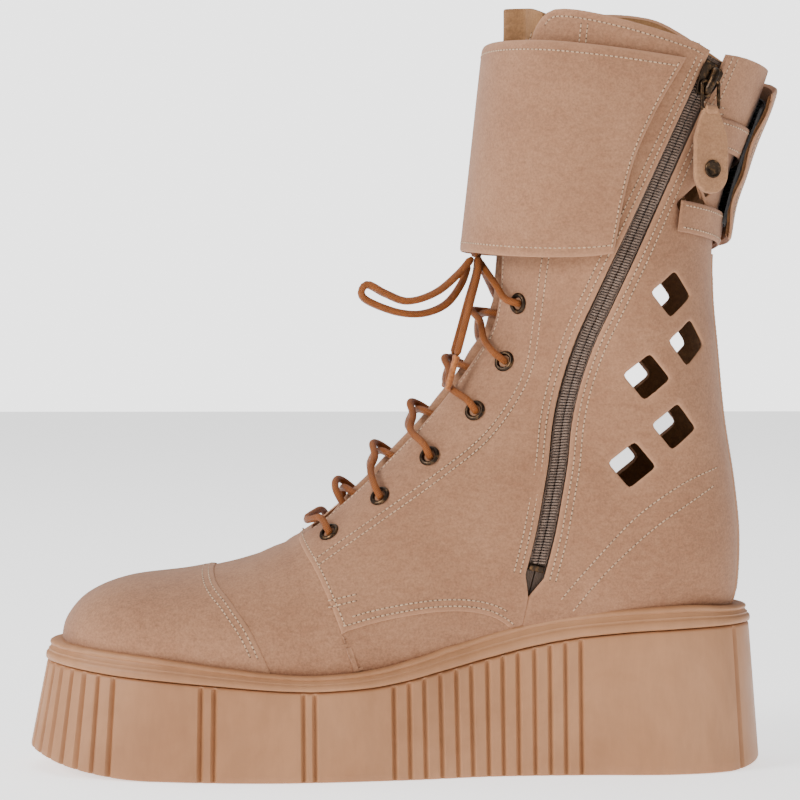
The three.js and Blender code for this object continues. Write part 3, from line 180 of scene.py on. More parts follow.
def section_at_height(r, z, first=8):
    """The section whose point at share r lies at height z."""
    r, z = np.broadcast_arrays(np.asarray(r, float), np.asarray(z, float))
    low, high = np.full(r.shape, float(first)), np.full(r.shape, float(LAST_SECTION))
    for _ in range(HALVINGS):
        v = (low + high) / 2
        under = surface_point(v, r)[..., 2] < z
        low, high = np.where(under, v, low), np.where(under, high, v)
    return (low + high) / 2


def ring_beside(v, y):
    """The share whose point on section v lies y beside the front ridge."""
    v, y = np.broadcast_arrays(np.asarray(v, float), np.asarray(y, float))
    low, high = np.zeros(v.shape), np.full(v.shape, 0.5)
    for _ in range(HALVINGS):
        r = (low + high) / 2
        under = np.abs(surface_point(v, r * np.where(y < 0, -1, 1))[..., 1]) < np.abs(y)
        low, high = np.where(under, r, low), np.where(under, high, r)
    return (low + high) / 2 * np.where(y < 0, -1, 1)


# ---------------------------------------------------------------- lines seen from the side

GROUND_LINE = [(-152, 14), (-141, 9.5), (-125, 4.2), (-108, 1), (-94, 0), (126, 0), (134, 1), (142, 3.6), (152, 8)]
PARTING_LINE = [
    (-152, 43.5), (-137, 41.7), (-108, 38.6), (-76, 36.2), (-37, 33.6), (-18, 34), (-4, 35.6),
    (14, 39.6), (37, 45.2), (55, 49.4), (69, 51.8), (92, 54), (130, 55.6), (152, 55),
]
WELT_LINE = [
    (-152, 50.4), (-131, 49), (-94, 46), (-61, 41.8), (-37, 39.4), (-18, 40), (-5, 42), (7.6, 45.3),
    (18, 49), (41.6, 55.8), (60, 60), (83, 62.3), (111, 63.8), (131, 62.8), (152, 62),
]
SOLE_PLAN = [
    (-137, -3), (-131.5, -21), (-116, -36), (-87, -46.5), (-46, -50), (0, -43.5), (35, -34.5),
    (70, -31.5), (105, -31), (128, -22), (138, 0), (128, 22.5), (105, 32.5), (70, 35), (35, 39),
    (0, 45.5), (-42, 50), (-82, 48.5), (-114, 39), (-131, 20),
]
# The zip's centre line, whose first stretch is straight down to the third point.
ZIP_LINE = [
    (122, 277), (117, 266), (90.6, 209), (79, 184), (70.5, 165), (65, 148), (62, 134), (60.5, 120),
    (58.5, 108), (55.5, 92), (51.5, 76),
]
LATERAL_SEAM = [(133, 303)] + ZIP_LINE + [(48, 62), (44, 42)]
TOE_SEAM = [(-77, 112), (-74, 95), (-71.5, 76), (-63.5, 66), (-55, 54), (-46.5, 34), (-44, 22)]
QUARTER_FRONT = [(-33, 128), (-37, 112), (-38.6, 93.5), (-38.9, 89), (-31.4, 77), (-24.5, 62), (-22, 55)]
QUARTER_FOOT = [
    (-30, 55), (-23, 55.9), (-19.5, 56.4), (-8.7, 59.3), (5, 61.8), (16.7, 63), (28, 62.5), (37, 59.8), (44, 54),
    (47, 46), (49, 34),
]
COLLAR_SEAM = [(90, 258), (107, 254), (124, 250), (141, 247), (165, 244)]
MEDIAL_TOP = [
    (10, 256), (30, 262), (47, 272), (52, 285), (56.5, 291), (63, 292), (77, 289.2), (94, 284.6),
    (113, 278.7), (119, 275.5), (132, 274), (152, 269), (165, 266),
]
LATERAL_TOP = [
    (10, 254), (30, 262), (47, 274), (55, 288), (66, 295.5), (85, 299), (104, 297.4), (116, 291.5), (127, 283),
    (136, 276), (152, 269), (165, 264),
]
# Half width of the throat against height, seen from the front.
THROAT = [
    (12, 60), (12, 84), (12, 140), (12, 200), (13, 222), (15.6, 241), (19.8, 262), (26, 282), (34, 312), (42, 340),
]
COUNTER_UPPER = [(61.6, 66.8), (70.7, 77.8), (89.4, 97.9), (107.6, 110.9), (122, 117)]
COUNTER_LOWER = [(66.2, 62.2), (79.9, 78.5), (98.5, 95.3), (120.5, 110)]
DIAMONDS = [(104, 183.5), (110.5, 165), (94, 152), (105, 133), (88.5, 118.5), (120, 229), (112.5, 217)]
DIAMOND_TIPS = [(9.2, -0.8), (1, 9), (-9.2, 0.8), (-1, -9)]
EYELETS = [(-26.5, 91.5), (-7, 105.5), (12, 121), (29.5, 138.5), (41, 157.5), (46.5, 180)]


def eased(line, step=2.5):
    """A smooth line through points in the plane, in short steps."""
    rows = np.array(line, float)
    parts = []
    for i in range(len(rows) - 1):
        count = max(int(np.linalg.norm(rows[i + 1] - rows[i]) / step), 1)
        parts.append(spline(rows, i + np.arange(count) / count))
    return np.vstack(parts + [rows[-1:]])


def height_over(line, x):
    rows = np.array(line, float)
    u = np.interp(x, rows[:, 0], np.arange(len(rows)))
    return spline(rows, u)[..., 1]


def offset_line(line, distance):
    """The line moved to its left by a distance."""
    step = np.gradient(line, axis=0)
    step /= np.maximum(np.linalg.norm(step, axis=1, keepdims=True), 1e-9)
    return line + distance * np.stack([-step[:, 1], step[:, 0]], 1)


def beside_line(points, line):
    """Signed distance of points from a line in the plane, positive on its left."""
    a, b = line[:-1], line[1:]
    along = b - a
    length = np.maximum((along ** 2).sum(1), 1e-9)
    rel = points[:, None, :] - a[None]
    f = np.clip((rel * along[None]).sum(2) / length[None], 0, 1)
    gap = rel - f[..., None] * along[None]
    far = np.linalg.norm(gap, axis=2)
    i = far.argmin(1)
    rows = np.arange(len(points))
    cross = along[i, 0] * rel[rows, i, 1] - along[i, 1] * rel[rows, i, 0]
    return far[rows, i] * np.where(cross >= 0, 1, -1)


# ---------------------------------------------------------------- making and finishing pieces

def finish_piece(obj, body="boot", slot="nubuck", *nodes):
    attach(obj, body)
    if nodes:
        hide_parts(*nodes)
    return obj


def new_object(name, bm, materials, smooth_angle=40):
    """A bmesh in millimetres on the last becomes an object in the row frame."""
    bmesh.ops.transform(bm, verts=bm.verts, matrix=Matrix.Scale(0.001, 4) @ Matrix.Translation(SHIFT.tolist()))
    mesh = bpy.data.meshes.new(name)
    bm.to_mesh(mesh)
    bm.free()
    for material in materials:
        mesh.materials.append(material)
    obj = bpy.data.objects.new(name, mesh)
    bpy.context.scene.collection.objects.link(obj)
    shade(mesh, smooth_angle)
    return obj


def shade(mesh, smooth_angle):
    mesh.shade_smooth()
    mesh.set_sharp_from_angle(angle=math.radians(smooth_angle))


def applied(obj, smooth_angle=40):
    """The object's modifiers become part of its mesh."""
    graph = bpy.context.evaluated_depsgraph_get()
    mesh = bpy.data.meshes.new_from_object(obj.evaluated_get(graph), preserve_all_data_layers=True, depsgraph=graph)
    old = obj.data
    obj.modifiers.clear()
    obj.data = mesh
    bpy.data.meshes.remove(old)
    mesh.name = obj.name
    shade(mesh, smooth_angle)
    return obj


def thickened(obj, thickness, inner=1, rim=0, offset=-1, smooth_angle=40):
    wall = obj.modifiers.new("wall", "SOLIDIFY")
    wall.thickness = thickness * 0.001
    wall.offset = offset
    wall.use_even_offset = False
    wall.material_offset = inner
    wall.material_offset_rim = rim
    return applied(obj, smooth_angle)


def coordinates(bm):
    return np.array([v.co for v in bm.verts], float).reshape(-1, 3)


def place_all(bm, points):
    for vert, p in zip(bm.verts, points):
        vert.co = p


def mapped_grid(columns, rows, place, size=(1, 1), closed=False):
    """A grid laid over a surface: place(u, v) gives its points, u and v from 0 to 1. The UV
    map holds u and v times size, so that it can be in millimetres."""
    bm = bmesh.new()
    layer = bm.loops.layers.uv.new("UVMap")
    bmesh.ops.create_grid(bm, x_segments=columns, y_segments=rows, size=0.5)
    flat = coordinates(bm)[:, :2] + 0.5
    for face in bm.faces:
        for loop in face.loops:
            co = loop.vert.co
            loop[layer].uv = ((co.x + 0.5) * size[0], (co.y + 0.5) * size[1])
    place_all(bm, place(flat[:, 0], flat[:, 1]))
    if closed:
        bmesh.ops.remove_doubles(bm, verts=bm.verts, dist=1e-3)
    bm.normal_update()
    return bm


END_NARROWING = 0.55


def frames_along(points):
    """Tangents and two steady cross directions along a path."""
    tangent = np.gradient(points, axis=0)
    tangent /= np.maximum(np.linalg.norm(tangent, axis=1, keepdims=True), 1e-9)
    first = np.cross(tangent[0], [0.3, 0.2, 1.0])
    first /= np.linalg.norm(first)
    across = [first]
    for t in tangent[1:]:
        a = across[-1] - t * across[-1].dot(t)
        across.append(a / np.linalg.norm(a))
    across = np.array(across)
    return tangent, across, np.cross(tangent, across)


def run_along(points):
    """The length of a path up to each of its points."""
    return np.concatenate([[0], np.cumsum(np.linalg.norm(np.diff(points, axis=0), axis=1))])


def at_runs(at, run, points):
    """The points of a path at given lengths along it."""
    return np.stack([np.interp(at, run, column) for column in points.T], 1)


def path_length(points):
    return float(np.linalg.norm(np.diff(points, axis=0), axis=1).sum())


def resampled(points, step):
    """The same smooth path in even steps."""
    points = np.asarray(points, float)
    dense = spline(points, np.linspace(0, len(points) - 1, len(points) * 14))
    run = run_along(dense)
    return at_runs(np.linspace(0, run[-1], max(int(run[-1] / step), 2) + 1), run, dense)


def tube_mesh(points, radius, sides=12, round_end=True, tall=1.0):
    """A tube along a path, narrowed at its ends; tall stretches its section."""
    radius = np.full(len(points), float(radius))
    if round_end:
        radius[[0, -1]] *= END_NARROWING
    tangent, across, up = frames_along(points)
    rows = len(points) - 1

    def place(u, v):
        i = np.rint(v * rows).astype(int)
        turn = 2 * math.pi * u
        ring = np.cos(turn)[:, None] * across[i] + tall * np.sin(turn)[:, None] * up[i]
        return points[i] + ring * radius[i][:, None]

    bm = mapped_grid(sides, rows, place, (2 * math.pi * radius.max(), path_length(points)), closed=True)
    ends = [e for e in bm.edges if e.is_boundary]
    bmesh.ops.holes_fill(bm, edges=ends, sides=sides + 2)
    bmesh.ops.recalc_face_normals(bm, faces=bm.faces)
    return bm


def lathed(profile, segments=28):
    """A solid of revolution round Z from (radius, height) points of a closed profile."""
    bm = bmesh.new()
    verts = [bm.verts.new((radius, 0, height)) for radius, height in profile]
    edges = [bm.edges.new((a, b)) for a, b in zip(verts, verts[1:] + verts[:1])]
    bmesh.ops.spin(
        bm, geom=verts + edges, axis=(0, 0, 1), cent=(0, 0, 0), angle=2 * math.pi,
        steps=segments, use_merge=True, use_duplicate=False,
    )
    bmesh.ops.remove_doubles(bm, verts=bm.verts, dist=1e-4)
    bmesh.ops.recalc_face_normals(bm, faces=bm.faces)
    return bm


def standing(point, normal, along):
    """A frame at a point: Z along the normal, X as near as it can be to another direction."""
    z = Vector(normal).normalized()
    y = z.cross(Vector(along)).normalized()
    x = y.cross(z)
    return Matrix.Translation(Vector(point)) @ Matrix((x, y, z)).transposed().to_4x4()


def template(bm, name):
    mesh = bpy.data.meshes.new(name)
    bm.to_mesh(mesh)
    bm.free()
    return mesh


def joined(*parts):
    whole = bmesh.new()
    for bm in parts:
        mesh = template(bm, "part")
        whole.from_mesh(mesh)
        bpy.data.meshes.remove(mesh)
    return whole


def scattered(shape, places):
    """One bmesh of many copies of a small mesh."""
    bm = bmesh.new()
    for matrix in places:
        copy = shape.copy()
        copy.transform(matrix)
        bm.from_mesh(copy)
        bpy.data.meshes.remove(copy)
    return bm


# ---------------------------------------------------------------- camera

EYE_DISTANCE, EYE_HEIGHT = 1100, 175.5
SENSOR_WIDTH, LENS, LOOK_DOWN_SHIFT = 36, 125.8, -0.106
EYE_YAW, AIM_X, NEAREST_SEEN = -1.0, 0.8, 0.05


def make_camera():
    data = bpy.data.cameras.new("camera")
    data.lens, data.sensor_width, data.shift_y = LENS, SENSOR_WIDTH, LOOK_DOWN_SHIFT
    data.clip_start = NEAREST_SEEN
    camera = bpy.data.objects.new("camera", data)
    bpy.context.scene.collection.objects.link(camera)
    aim = Vector(to_row([AIM_X, 0, EYE_HEIGHT]).tolist())
    turn = Matrix.Rotation(math.radians(EYE_YAW), 4, "Z")
    back = Matrix.Translation((0, -EYE_DISTANCE * 0.001, 0))
    camera.matrix_world = Matrix.Translation(aim) @ turn @ back @ Matrix.Rotation(math.radians(90), 4, "X")
    bpy.context.scene.camera = camera


make_camera()


# ---------------------------------------------------------------- finishes

SHEEN_ROUGHNESS, SPECULAR_LEVEL = 0.55, 0.35
BRAID_TURN = math.radians(38)


def new_material(name, roughness, metallic=0.0, sheen=0.0):
    mat = bpy.data.materials.new(name)
    mat.use_nodes = True
    tree = mat.node_tree
    shader = tree.nodes["Principled BSDF"]
    shader.inputs["Roughness"].default_value = roughness
    shader.inputs["Metallic"].default_value = metallic
    shader.inputs["Sheen Weight"].default_value = sheen
    shader.inputs["Sheen Roughness"].default_value = SHEEN_ROUGHNESS
    shader.inputs["Specular IOR Level"].default_value = SPECULAR_LEVEL
    return mat, tree, shader


def object_point(tree, stretch=(1, 1, 1)):
    return mapping(tree, tree.nodes.new("ShaderNodeTexCoord").outputs["Object"], stretch)


def mapping(tree, source, stretch, turn=(0, 0, 0)):
    node = tree.nodes.new("ShaderNodeMapping")
    node.inputs["Scale"].default_value = stretch
    node.inputs["Rotation"].default_value = turn
    tree.links.new(source, node.inputs["Vector"])
    return node.outputs["Vector"]


def noise(tree, at, scale, detail=3.0, rough=0.55, distortion=0.0):
    node = tree.nodes.new("ShaderNodeTexNoise")
    node.inputs["Scale"].default_value = scale
    node.inputs["Detail"].default_value = detail
    node.inputs["Roughness"].default_value = rough
    node.inputs["Distortion"].default_value = distortion
    tree.links.new(at, node.inputs["Vector"])
    return node.outputs["Fac"]


def ramp(tree, fac, *stops):
    node = tree.nodes.new("ShaderNodeValToRGB")
    marks = node.color_ramp.elements
    while len(marks) < len(stops):
        marks.new(0.5)
    for mark, (position, colour) in zip(marks, stops):
        mark.position, mark.color = position, (*colour, 1)
    tree.links.new(fac, node.inputs["Fac"])
    return node.outputs["Color"]


def grey(value):
    return (value, value, value)


def mixed(tree, fac, a, b, blend="MIX"):
    node = tree.nodes.new("ShaderNodeMix")
    node.data_type, node.blend_type = "RGBA", blend
    for socket, value in ((node.inputs["Factor"], fac), (node.inputs["A"], a), (node.inputs["B"], b)):
        if isinstance(value, (int, float)):
            socket.default_value = value
        elif isinstance(value, tuple):
            socket.default_value = (*value, 1)
        else:
            tree.links.new(value, socket)
    return node.outputs["Result"]


def bumped(tree, shader, *layers):
    """Bumps laid on each other: (height, strength, depth in metres)."""
    normal = None
    for height, strength, depth in layers:
        node = tree.nodes.new("ShaderNodeBump")
        node.inputs["Strength"].default_value = strength
        node.inputs["Distance"].default_value = depth
        tree.links.new(height, node.inputs["Height"])
        if normal:
            tree.links.new(normal, node.inputs["Normal"])
        normal = node.outputs["Normal"]
    tree.links.new(normal, shader.inputs["Normal"])


def rgb(r, g, b):
    """A colour as a screen shows it, in the linear values a shader takes."""
    return tuple(((c / 255 + 0.055) / 1.055) ** 2.4 if c > 10 else c / 255 / 12.92 for c in (r, g, b))


def attribute(tree, name):
    node = tree.nodes.new("ShaderNodeAttribute")
    node.attribute_name = name
    return node.outputs["Fac"]


def brushed_leather(name, pale, mid, deep, roughness=0.88, sheen=0.12, rubbed=False):
    """Nubuck: cloudy colour where the nap lies either way, and a fine velvety grain."""
    mat, tree, shader = new_material(name, roughness, sheen=sheen)
    at = object_point(tree)
    clouds = ramp(tree, noise(tree, at, 26, 5, 0.6, 0.4), (0.3, deep), (0.52, mid), (0.74, pale))
    streaks = noise(tree, mapping(tree, at, (1, 1, 2.4)), 210, 5, 0.7)
    colour = mixed(tree, 0.35, clouds, ramp(tree, streaks, (0.35, deep), (0.65, pale)))
    specks = ramp(tree, noise(tree, at, 1150, 3, 0.7), (0.34, grey(0.72)), (0.66, grey(1.16)))
    colour = mixed(tree, 0.75, colour, specks, "MULTIPLY")
    pores = ramp(tree, noise(tree, at, 480, 4, 0.7), (0.3, grey(0.84)), (0.55, grey(1.0)))
    colour = mixed(tree, 0.7, colour, pores, "MULTIPLY")
    if rubbed:
        edge = ramp(tree, attribute(tree, "edge_wear"), (0.0, grey(0.0)), (1.0, grey(0.75)))
        colour = mixed(tree, edge, colour, tuple(min(c * 1.16, 1) for c in pale))
    tree.links.new(colour, shader.inputs["Base Color"])
    bumped(
        tree, shader,
        (noise(tree, at, 60, 4, 0.5), 0.22, 0.0022),
        (noise(tree, mapping(tree, at, (1, 1, 1.6)), 420, 4, 0.6), 0.22, 0.0006),
        (noise(tree, at, 1400, 3, 0.65), 0.4, 0.00025),
    )
    return mat


def moulded_rubber():
    mat, tree, shader = new_material("moulded_sole", 0.5)
    at = object_point(tree)
    pale, mid, deep = rgb(178, 130, 94), rgb(166, 118, 82), rgb(152, 105, 71)
    clouds = ramp(tree, noise(tree, at, 14, 5, 0.65, 0.6), (0.3, deep), (0.5, mid), (0.75, pale))
    scuffs = ramp(tree, noise(tree, mapping(tree, at, (1, 1, 0.25)), 160, 6, 0.7), (0.4, grey(0.93)), (0.6, grey(1.04)))
    tree.links.new(mixed(tree, 0.7, clouds, scuffs, "MULTIPLY"), shader.inputs["Base Color"])
    rough = ramp(tree, noise(tree, at, 40, 4), (0.3, grey(0.42)), (0.7, grey(0.58)))
    tree.links.new(rough, shader.inputs["Roughness"])
    bumped(tree, shader, (noise(tree, at, 45, 3), 0.12, 0.002), (noise(tree, at, 1500, 2), 0.12, 0.00012))
    return mat


def spun_thread(name, pale, deep):
    mat, tree, shader = new_material(name, 0.6, sheen=0.2)
    at = object_point(tree)
    tree.links.new(ramp(tree, noise(tree, at, 900, 2), (0.35, deep), (0.65, pale)), shader.inputs["Base Color"])
    bumped(tree, shader, (noise(tree, at, 2600, 2), 0.4, 0.0002))
    return mat


def aged_metal(name, bright, dull, roughness):
    """Metal with a darkened finish that rubs through to the bright underneath."""
    mat, tree, shader = new_material(name, roughness, metallic=1.0)
    at = object_point(tree)
    worn = ramp(tree, noise(tree, at, 380, 5, 0.65), (0.5, dull), (0.78, bright))
    tree.links.new(worn, shader.inputs["Base Color"])
    rough = ramp(tree, noise(tree, at, 700, 4), (0.3, grey(roughness - 0.1)), (0.7, grey(roughness + 0.14)))
    tree.links.new(rough, shader.inputs["Roughness"])
    bumped(tree, shader, (noise(tree, at, 1300, 3), 0.2, 0.0001))
    return mat


def wave(tree, at, scale, direction="X"):
    node = tree.nodes.new("ShaderNodeTexWave")
    node.bands_direction = direction
    node.inputs["Scale"].default_value = scale
    tree.links.new(at, node.inputs["Vector"])
    return node.outputs["Fac"]


def piece_map(tree):
    return tree.nodes.new("ShaderNodeUVMap").outputs["UV"]


def braided_lace():
    """A waxed round braid: two sets of strands that cross, from the piece's own map, with painted shade darkening the
    grooves between the strands.
    """
    mat, tree, shader = new_material("waxed_lace", 0.42)
    at = piece_map(tree)
    ways = [mapping(tree, at, (1, 1, 1), (0, 0, turn)) for turn in (BRAID_TURN, -BRAID_TURN)]
    plait_relief_and_groove_shade = mixed(tree, 1.0, *(wave(tree, way, 0.62) for way in ways), "MULTIPLY")
    deep, pale = rgb(120, 60, 16), rgb(196, 116, 52)
    # Painted shade: dark in the braid's grooves, pale on the strands' crowns, from the same relief as the bump.
    colour = ramp(tree, plait_relief_and_groove_shade, (0.0, deep), (0.55, pale))
    wax = ramp(tree, noise(tree, object_point(tree), 240, 3), (0.35, grey(0.8)), (0.65, grey(1.08)))
    tree.links.new(mixed(tree, 0.8, colour, wax, "MULTIPLY"), shader.inputs["Base Color"])
    bumped(tree, shader, (plait_relief_and_groove_shade, 0.85, 0.0005))
    return mat


def woven_tape(name, pale, deep):
    mat, tree, shader = new_material(name, 0.75, sheen=0.15)
    at = piece_map(tree)
    rib_relief_and_groove_shade = mixed(tree, 0.5, wave(tree, at, 0.55, "X"), wave(tree, at, 0.9, "Y"))
    # Painted shade: dark in the weave's grooves, pale on its ribs, from the same relief as the bump.
    tree.links.new(ramp(tree, rib_relief_and_groove_shade, (0.1, deep), (0.8, pale)), shader.inputs["Base Color"])
    bumped(tree, shader, (rib_relief_and_groove_shade, 0.7, 0.0003))
    return mat


NUBUCK = brushed_leather("nubuck", rgb(169, 124, 93), rgb(157, 112, 82), rgb(143, 99, 71), rubbed=True)
SOFT_NUBUCK = brushed_leather("soft_nubuck", rgb(167, 122, 91), rgb(155, 110, 80), rgb(142, 98, 70))
TAB_LEATHER = brushed_leather("pull_tab_leather", rgb(178, 132, 96), rgb(166, 120, 84), rgb(150, 105, 72), 0.8)
FLESH = brushed_leather("flesh_side", rgb(168, 124, 84), rgb(150, 108, 70), rgb(124, 86, 54), 0.95, 0.05)
SOLE = moulded_rubber()
THREAD = spun_thread("thread", rgb(204, 170, 136), rgb(170, 136, 104))
# Painted shade: a dark colour for the dabs that stand for the shadow inside each needle hole.
NEEDLE_HOLE_SHADE = spun_thread("needle_hole_painted_shade", rgb(104, 74, 52), rgb(70, 48, 32))
BRASS = aged_metal("antique_brass", rgb(128, 96, 64), rgb(52, 42, 34), 0.34)
STEEL = aged_metal("spring_steel", rgb(180, 180, 182), rgb(120, 120, 124), 0.35)
LACE = braided_lace()
TIP = spun_thread("waxed_tip", rgb(176, 104, 46), rgb(130, 70, 24))
TAPE = woven_tape("zip_tape_weave", rgb(104, 84, 70), rgb(62, 48, 38))
COIL = spun_thread("zip_coil_nylon", rgb(134, 110, 94), rgb(96, 76, 63))
HOOKS = spun_thread("hook_nylon", rgb(42, 40, 40), rgb(16, 15, 15))
FOAM = brushed_leather("sock_lining", rgb(196, 166, 136), rgb(184, 152, 122), rgb(170, 138, 108), 0.9)
BOARD = brushed_leather("fibre_board", rgb(150, 116, 84), rgb(136, 102, 72), rgb(118, 86, 58), 0.9)
STIFFENER = brushed_leather("stiffener_felt", rgb(196, 180, 160), rgb(178, 160, 140), rgb(160, 142, 122), 0.95)

KEPT_NODES = {
    "steel_shank": STEEL, "insole_board": BOARD, "footbed": FOAM, "toe_puff": STIFFENER, "heel_counter": STIFFENER,
}
for node_name, finish in KEPT_NODES.items():
    node = frame["nodes"][node_name]
    node.data.materials.clear()
    node.data.materials.append(finish)


# ---------------------------------------------------------------- laces

LACE_RADIUS = 1.4
LEATHER, GAP, FLANGE = 2.2, 0.3, 0.6
# How far the lace's middle stands off the leather's face, over it and under it.
OVER = 3 * GAP + FLANGE + LACE_RADIUS
UNDER = -LEATHER - OVER
CROSSING_LIFT = 2 * LACE_RADIUS + 4 * GAP
KNOT = np.array([31.0, 0.0, 202.0])
KNOT_RADIUS, KNOT_ENTRY, THROAT_RISE = 4.4, 1.9, 1.3
BOW_LOOP = [
    (29, -5.2, 198), (24, -8, 192), (15, -12, 184.5), (4, -15, 181), (-5, -17, 184), (-12, -18, 187.5),
    (-14.5, -18.4, 184), (-11, -18, 180.6), (0, -15.5, 176.6), (10, -12.6, 176.2), (19, -9.4, 180),
    (25, -5.4, 188), (27.6, -2.6, 195.4),
]
LACE_TAIL = [(31.5, -5.6, 198.4), (31, -10, 192), (28, -15.4, 181), (25.4, -17.6, 171), (22.4, -19.6, 160)]
AGLET_LENGTH = 14


def section_at_front(z):
    """The section whose front point lies at height z."""
    low, high = 0.0, float(LAST_SECTION)
    for _ in range(HALVINGS):
        v = (low + high) / 2
        low, high = (v, high) if spline(SECTIONS, v)[1] < z else (low, v)
    return (low + high) / 2


def lace_points(side):
    """One lace end's way from the lowest pair of eyelets to the knot."""
    from_medial = side == MEDIAL
    points = []
    last = len(EYELETS) - 1
    for i, (x, z) in enumerate(EYELETS):
        nx, nz = EYELETS[i + 1] if i < last else (x + 4, z + 24)
        run = np.array([nx - x, nz - z]) / math.hypot(nx - x, nz - z)
        over = (i % 2 == 0) == from_medial
        rise = THROAT_RISE + LACE_RADIUS + (CROSSING_LIFT if over else 0)

        def at(along, toward, out):
            px = x + along * run[0] - toward * run[1]
            points.append(on_side(px, z + along * run[1] + toward * run[0], side, out))

        def beside(share, y, out):
            v = section_at_front(z + 8 + (nz - z) * share)
            points.append(surface(v, ring_beside(v, side * y), out))

        if i == 0:
            for share, y, out in ((-0.45, 1.3, 3.4), (-0.45, 4, 3.4), (-0.45, 8, OVER + 0.6), (-0.35, 14, OVER + 1.2)):
                beside(share, y, out)
            way = ((0.6, 2.2, OVER + 2.2), (0.2, -0.2, OVER - 0.6), (0, 0, -LEATHER / 2), (0.3, 0.4, UNDER + 0.6))
            for along, toward, out in way + ((1.5, 3.4, UNDER),):
                at(along, toward, out)
            for share, y, out in ((0.1, 14, UNDER), (0.2, 11, UNDER + 0.9), (0.3, 7, rise - 1.8)):
                beside(share, y, out)
        else:
            way = ((-1.5, 3.4, UNDER), (-0.3, 0.4, UNDER + 0.6), (0, 0, -LEATHER / 2), (0.2, -0.2, OVER - 0.6))
            for along, toward, out in way + ((1.6, 2.2, OVER + 2.2),):
                at(along, toward, out)
            beside(0.12, 15.5, OVER + 1.8)
            if i < last:
                beside(0.3, 8, OVER + 1.4)
        if i < last:
            beside(0.42, -0.01, rise + 0.6)
            side = -side
            for share, y, out in ((0.5, 7, rise - 1.8), (0.58, 11, UNDER + 0.9), (0.64, 15, UNDER - 0.1)):
                beside(share, y, out)
    over_last = (last - 1) % 2 == 0
    sign = 1 if over_last == from_medial else -1
    points.append(KNOT + [1, KNOT_ENTRY * sign, -KNOT_RADIUS - 0.9])
    return np.array(points)


def lace_piece(name, points, node):
    path = resampled(points, 1.3)
    obj = new_object(name, tube_mesh(path, LACE_RADIUS, 14), [LACE], 80)
    return path, finish_piece(obj, "boot", "lace", node)


def make_laces():
    knot = make_knot()
    for side, name in SIDES:
        lace_piece("lace_through_" + name, lace_points(side), "lace_from_%s_side" % name)
        mirror = np.array([1, -side, 1])
        loop_path, loop = lace_piece("bow_" + name, np.array(BOW_LOOP) * mirror, "bow_loop_" + name)
        tail_path, tail = lace_piece("lace_end_" + name, np.array(LACE_TAIL) * mirror, "lace_tail_" + name)
        tip = make_aglet(name, tail_path)


def make_aglet(name, path):
    """A waxed tip with its crimp marks."""
    r, long = LACE_RADIUS, AGLET_LENGTH
    profile = [
        (0.02, 0), (r * 1.02, 0), (r * 1.08, 0.5), (r * 1.02, 1.2), (r * 0.9, 3), (r * 1.0, 3.6), (r * 0.9, 4.2),
        (r * 0.88, long - 1.5), (r * 0.7, long - 0.4), (0.02, long),
    ]
    bm = lathed(profile, 16)
    down = path[-1] - path[-2]
    down /= np.linalg.norm(down)
    place = standing(path[-1] + down * GAP, down, (1, 0, 0))
    bmesh.ops.transform(bm, verts=bm.verts, matrix=place)
    return finish_piece(new_object("lace_tip_" + name, bm, [TIP], 50), "boot", "lace", "aglet_" + name)


def make_knot():
    """The knot: strands of lace wound over and round each other."""
    strands = []
    angle = np.linspace(0, 2 * math.pi, 30)
    for turn, tilt, wide, tall in ((0, 0, 1.0, 1.0), (55, 18, 0.9, 1.05), (-50, -22, 0.9, 1.0)):
        ring = np.stack([0.9 * np.cos(angle), 2.6 * wide * np.sin(angle), 2.2 * tall * np.cos(angle + 0.6)], 1)
        spin = Matrix.Rotation(math.radians(turn), 3, "X") @ Matrix.Rotation(math.radians(tilt), 3, "Y")
        path = ring @ np.array(spin).T * 1.05 + KNOT
        strands.append(tube_mesh(path, LACE_RADIUS * 0.98, 12, round_end=False))
    return finish_piece(new_object("bow_knot", joined(*strands), [LACE], 80), "boot", "lace", "lace_knot")


make_laces()


# ---------------------------------------------------------------- leather panels

FROM_SIDE = np.array([[1.0, 0, 0], [0, 0, 1.0]])
FROM_FRONT = np.array([[0, 1.0, 0], [0, 0, 1.0]])
ROLL_BANDS = (0.0, 0.25, 0.7, 1.3, 2.0, 2.7)
ROLL_WIDTH, ROLL_DEPTH = 2.0, 0.75
CUT_REACH, SAME_POINT, HOLE_REACH, FAR_FROM_EDGE = 3.2, 0.06, 17, 50.0
HOLE_BANDS, HOLE_CORNER = (0.0, 0.25, 0.7, 1.4, 2.0), 0.13
WEAR_WIDTH = 0.9
# How far each kind of panel lies out from the last.
FRONT_OUT, REAR_OUT, BACKSTAY_OUT, COLLAR_OUT = 0.85, 0.4, 1.05, 1.35


class Cut:
    """An edge of a panel: a line in a view, which keeps what lies on its left."""

    def __init__(self, line, view=FROM_SIDE, rolled=True, centre=None, bands=ROLL_BANDS):
        self.line, self.view, self.rolled, self.centre = np.asarray(line, float), view, rolled, centre
        self.bands = bands if rolled else (0.0,)
        self.origin = np.zeros(3) if centre is None else centre

    def flat(self, points):
        return (points - self.origin) @ self.view.T

    def distance(self, points):
        d = beside_line(self.flat(points), self.line)
        if self.centre is not None:
            d = np.where(np.linalg.norm(points - self.centre, axis=1) > HOLE_REACH, HOLE_REACH, d)
        return d


def face_centres(faces):
    return np.array([f.calc_center_median() for f in faces], float).reshape(-1, 3)


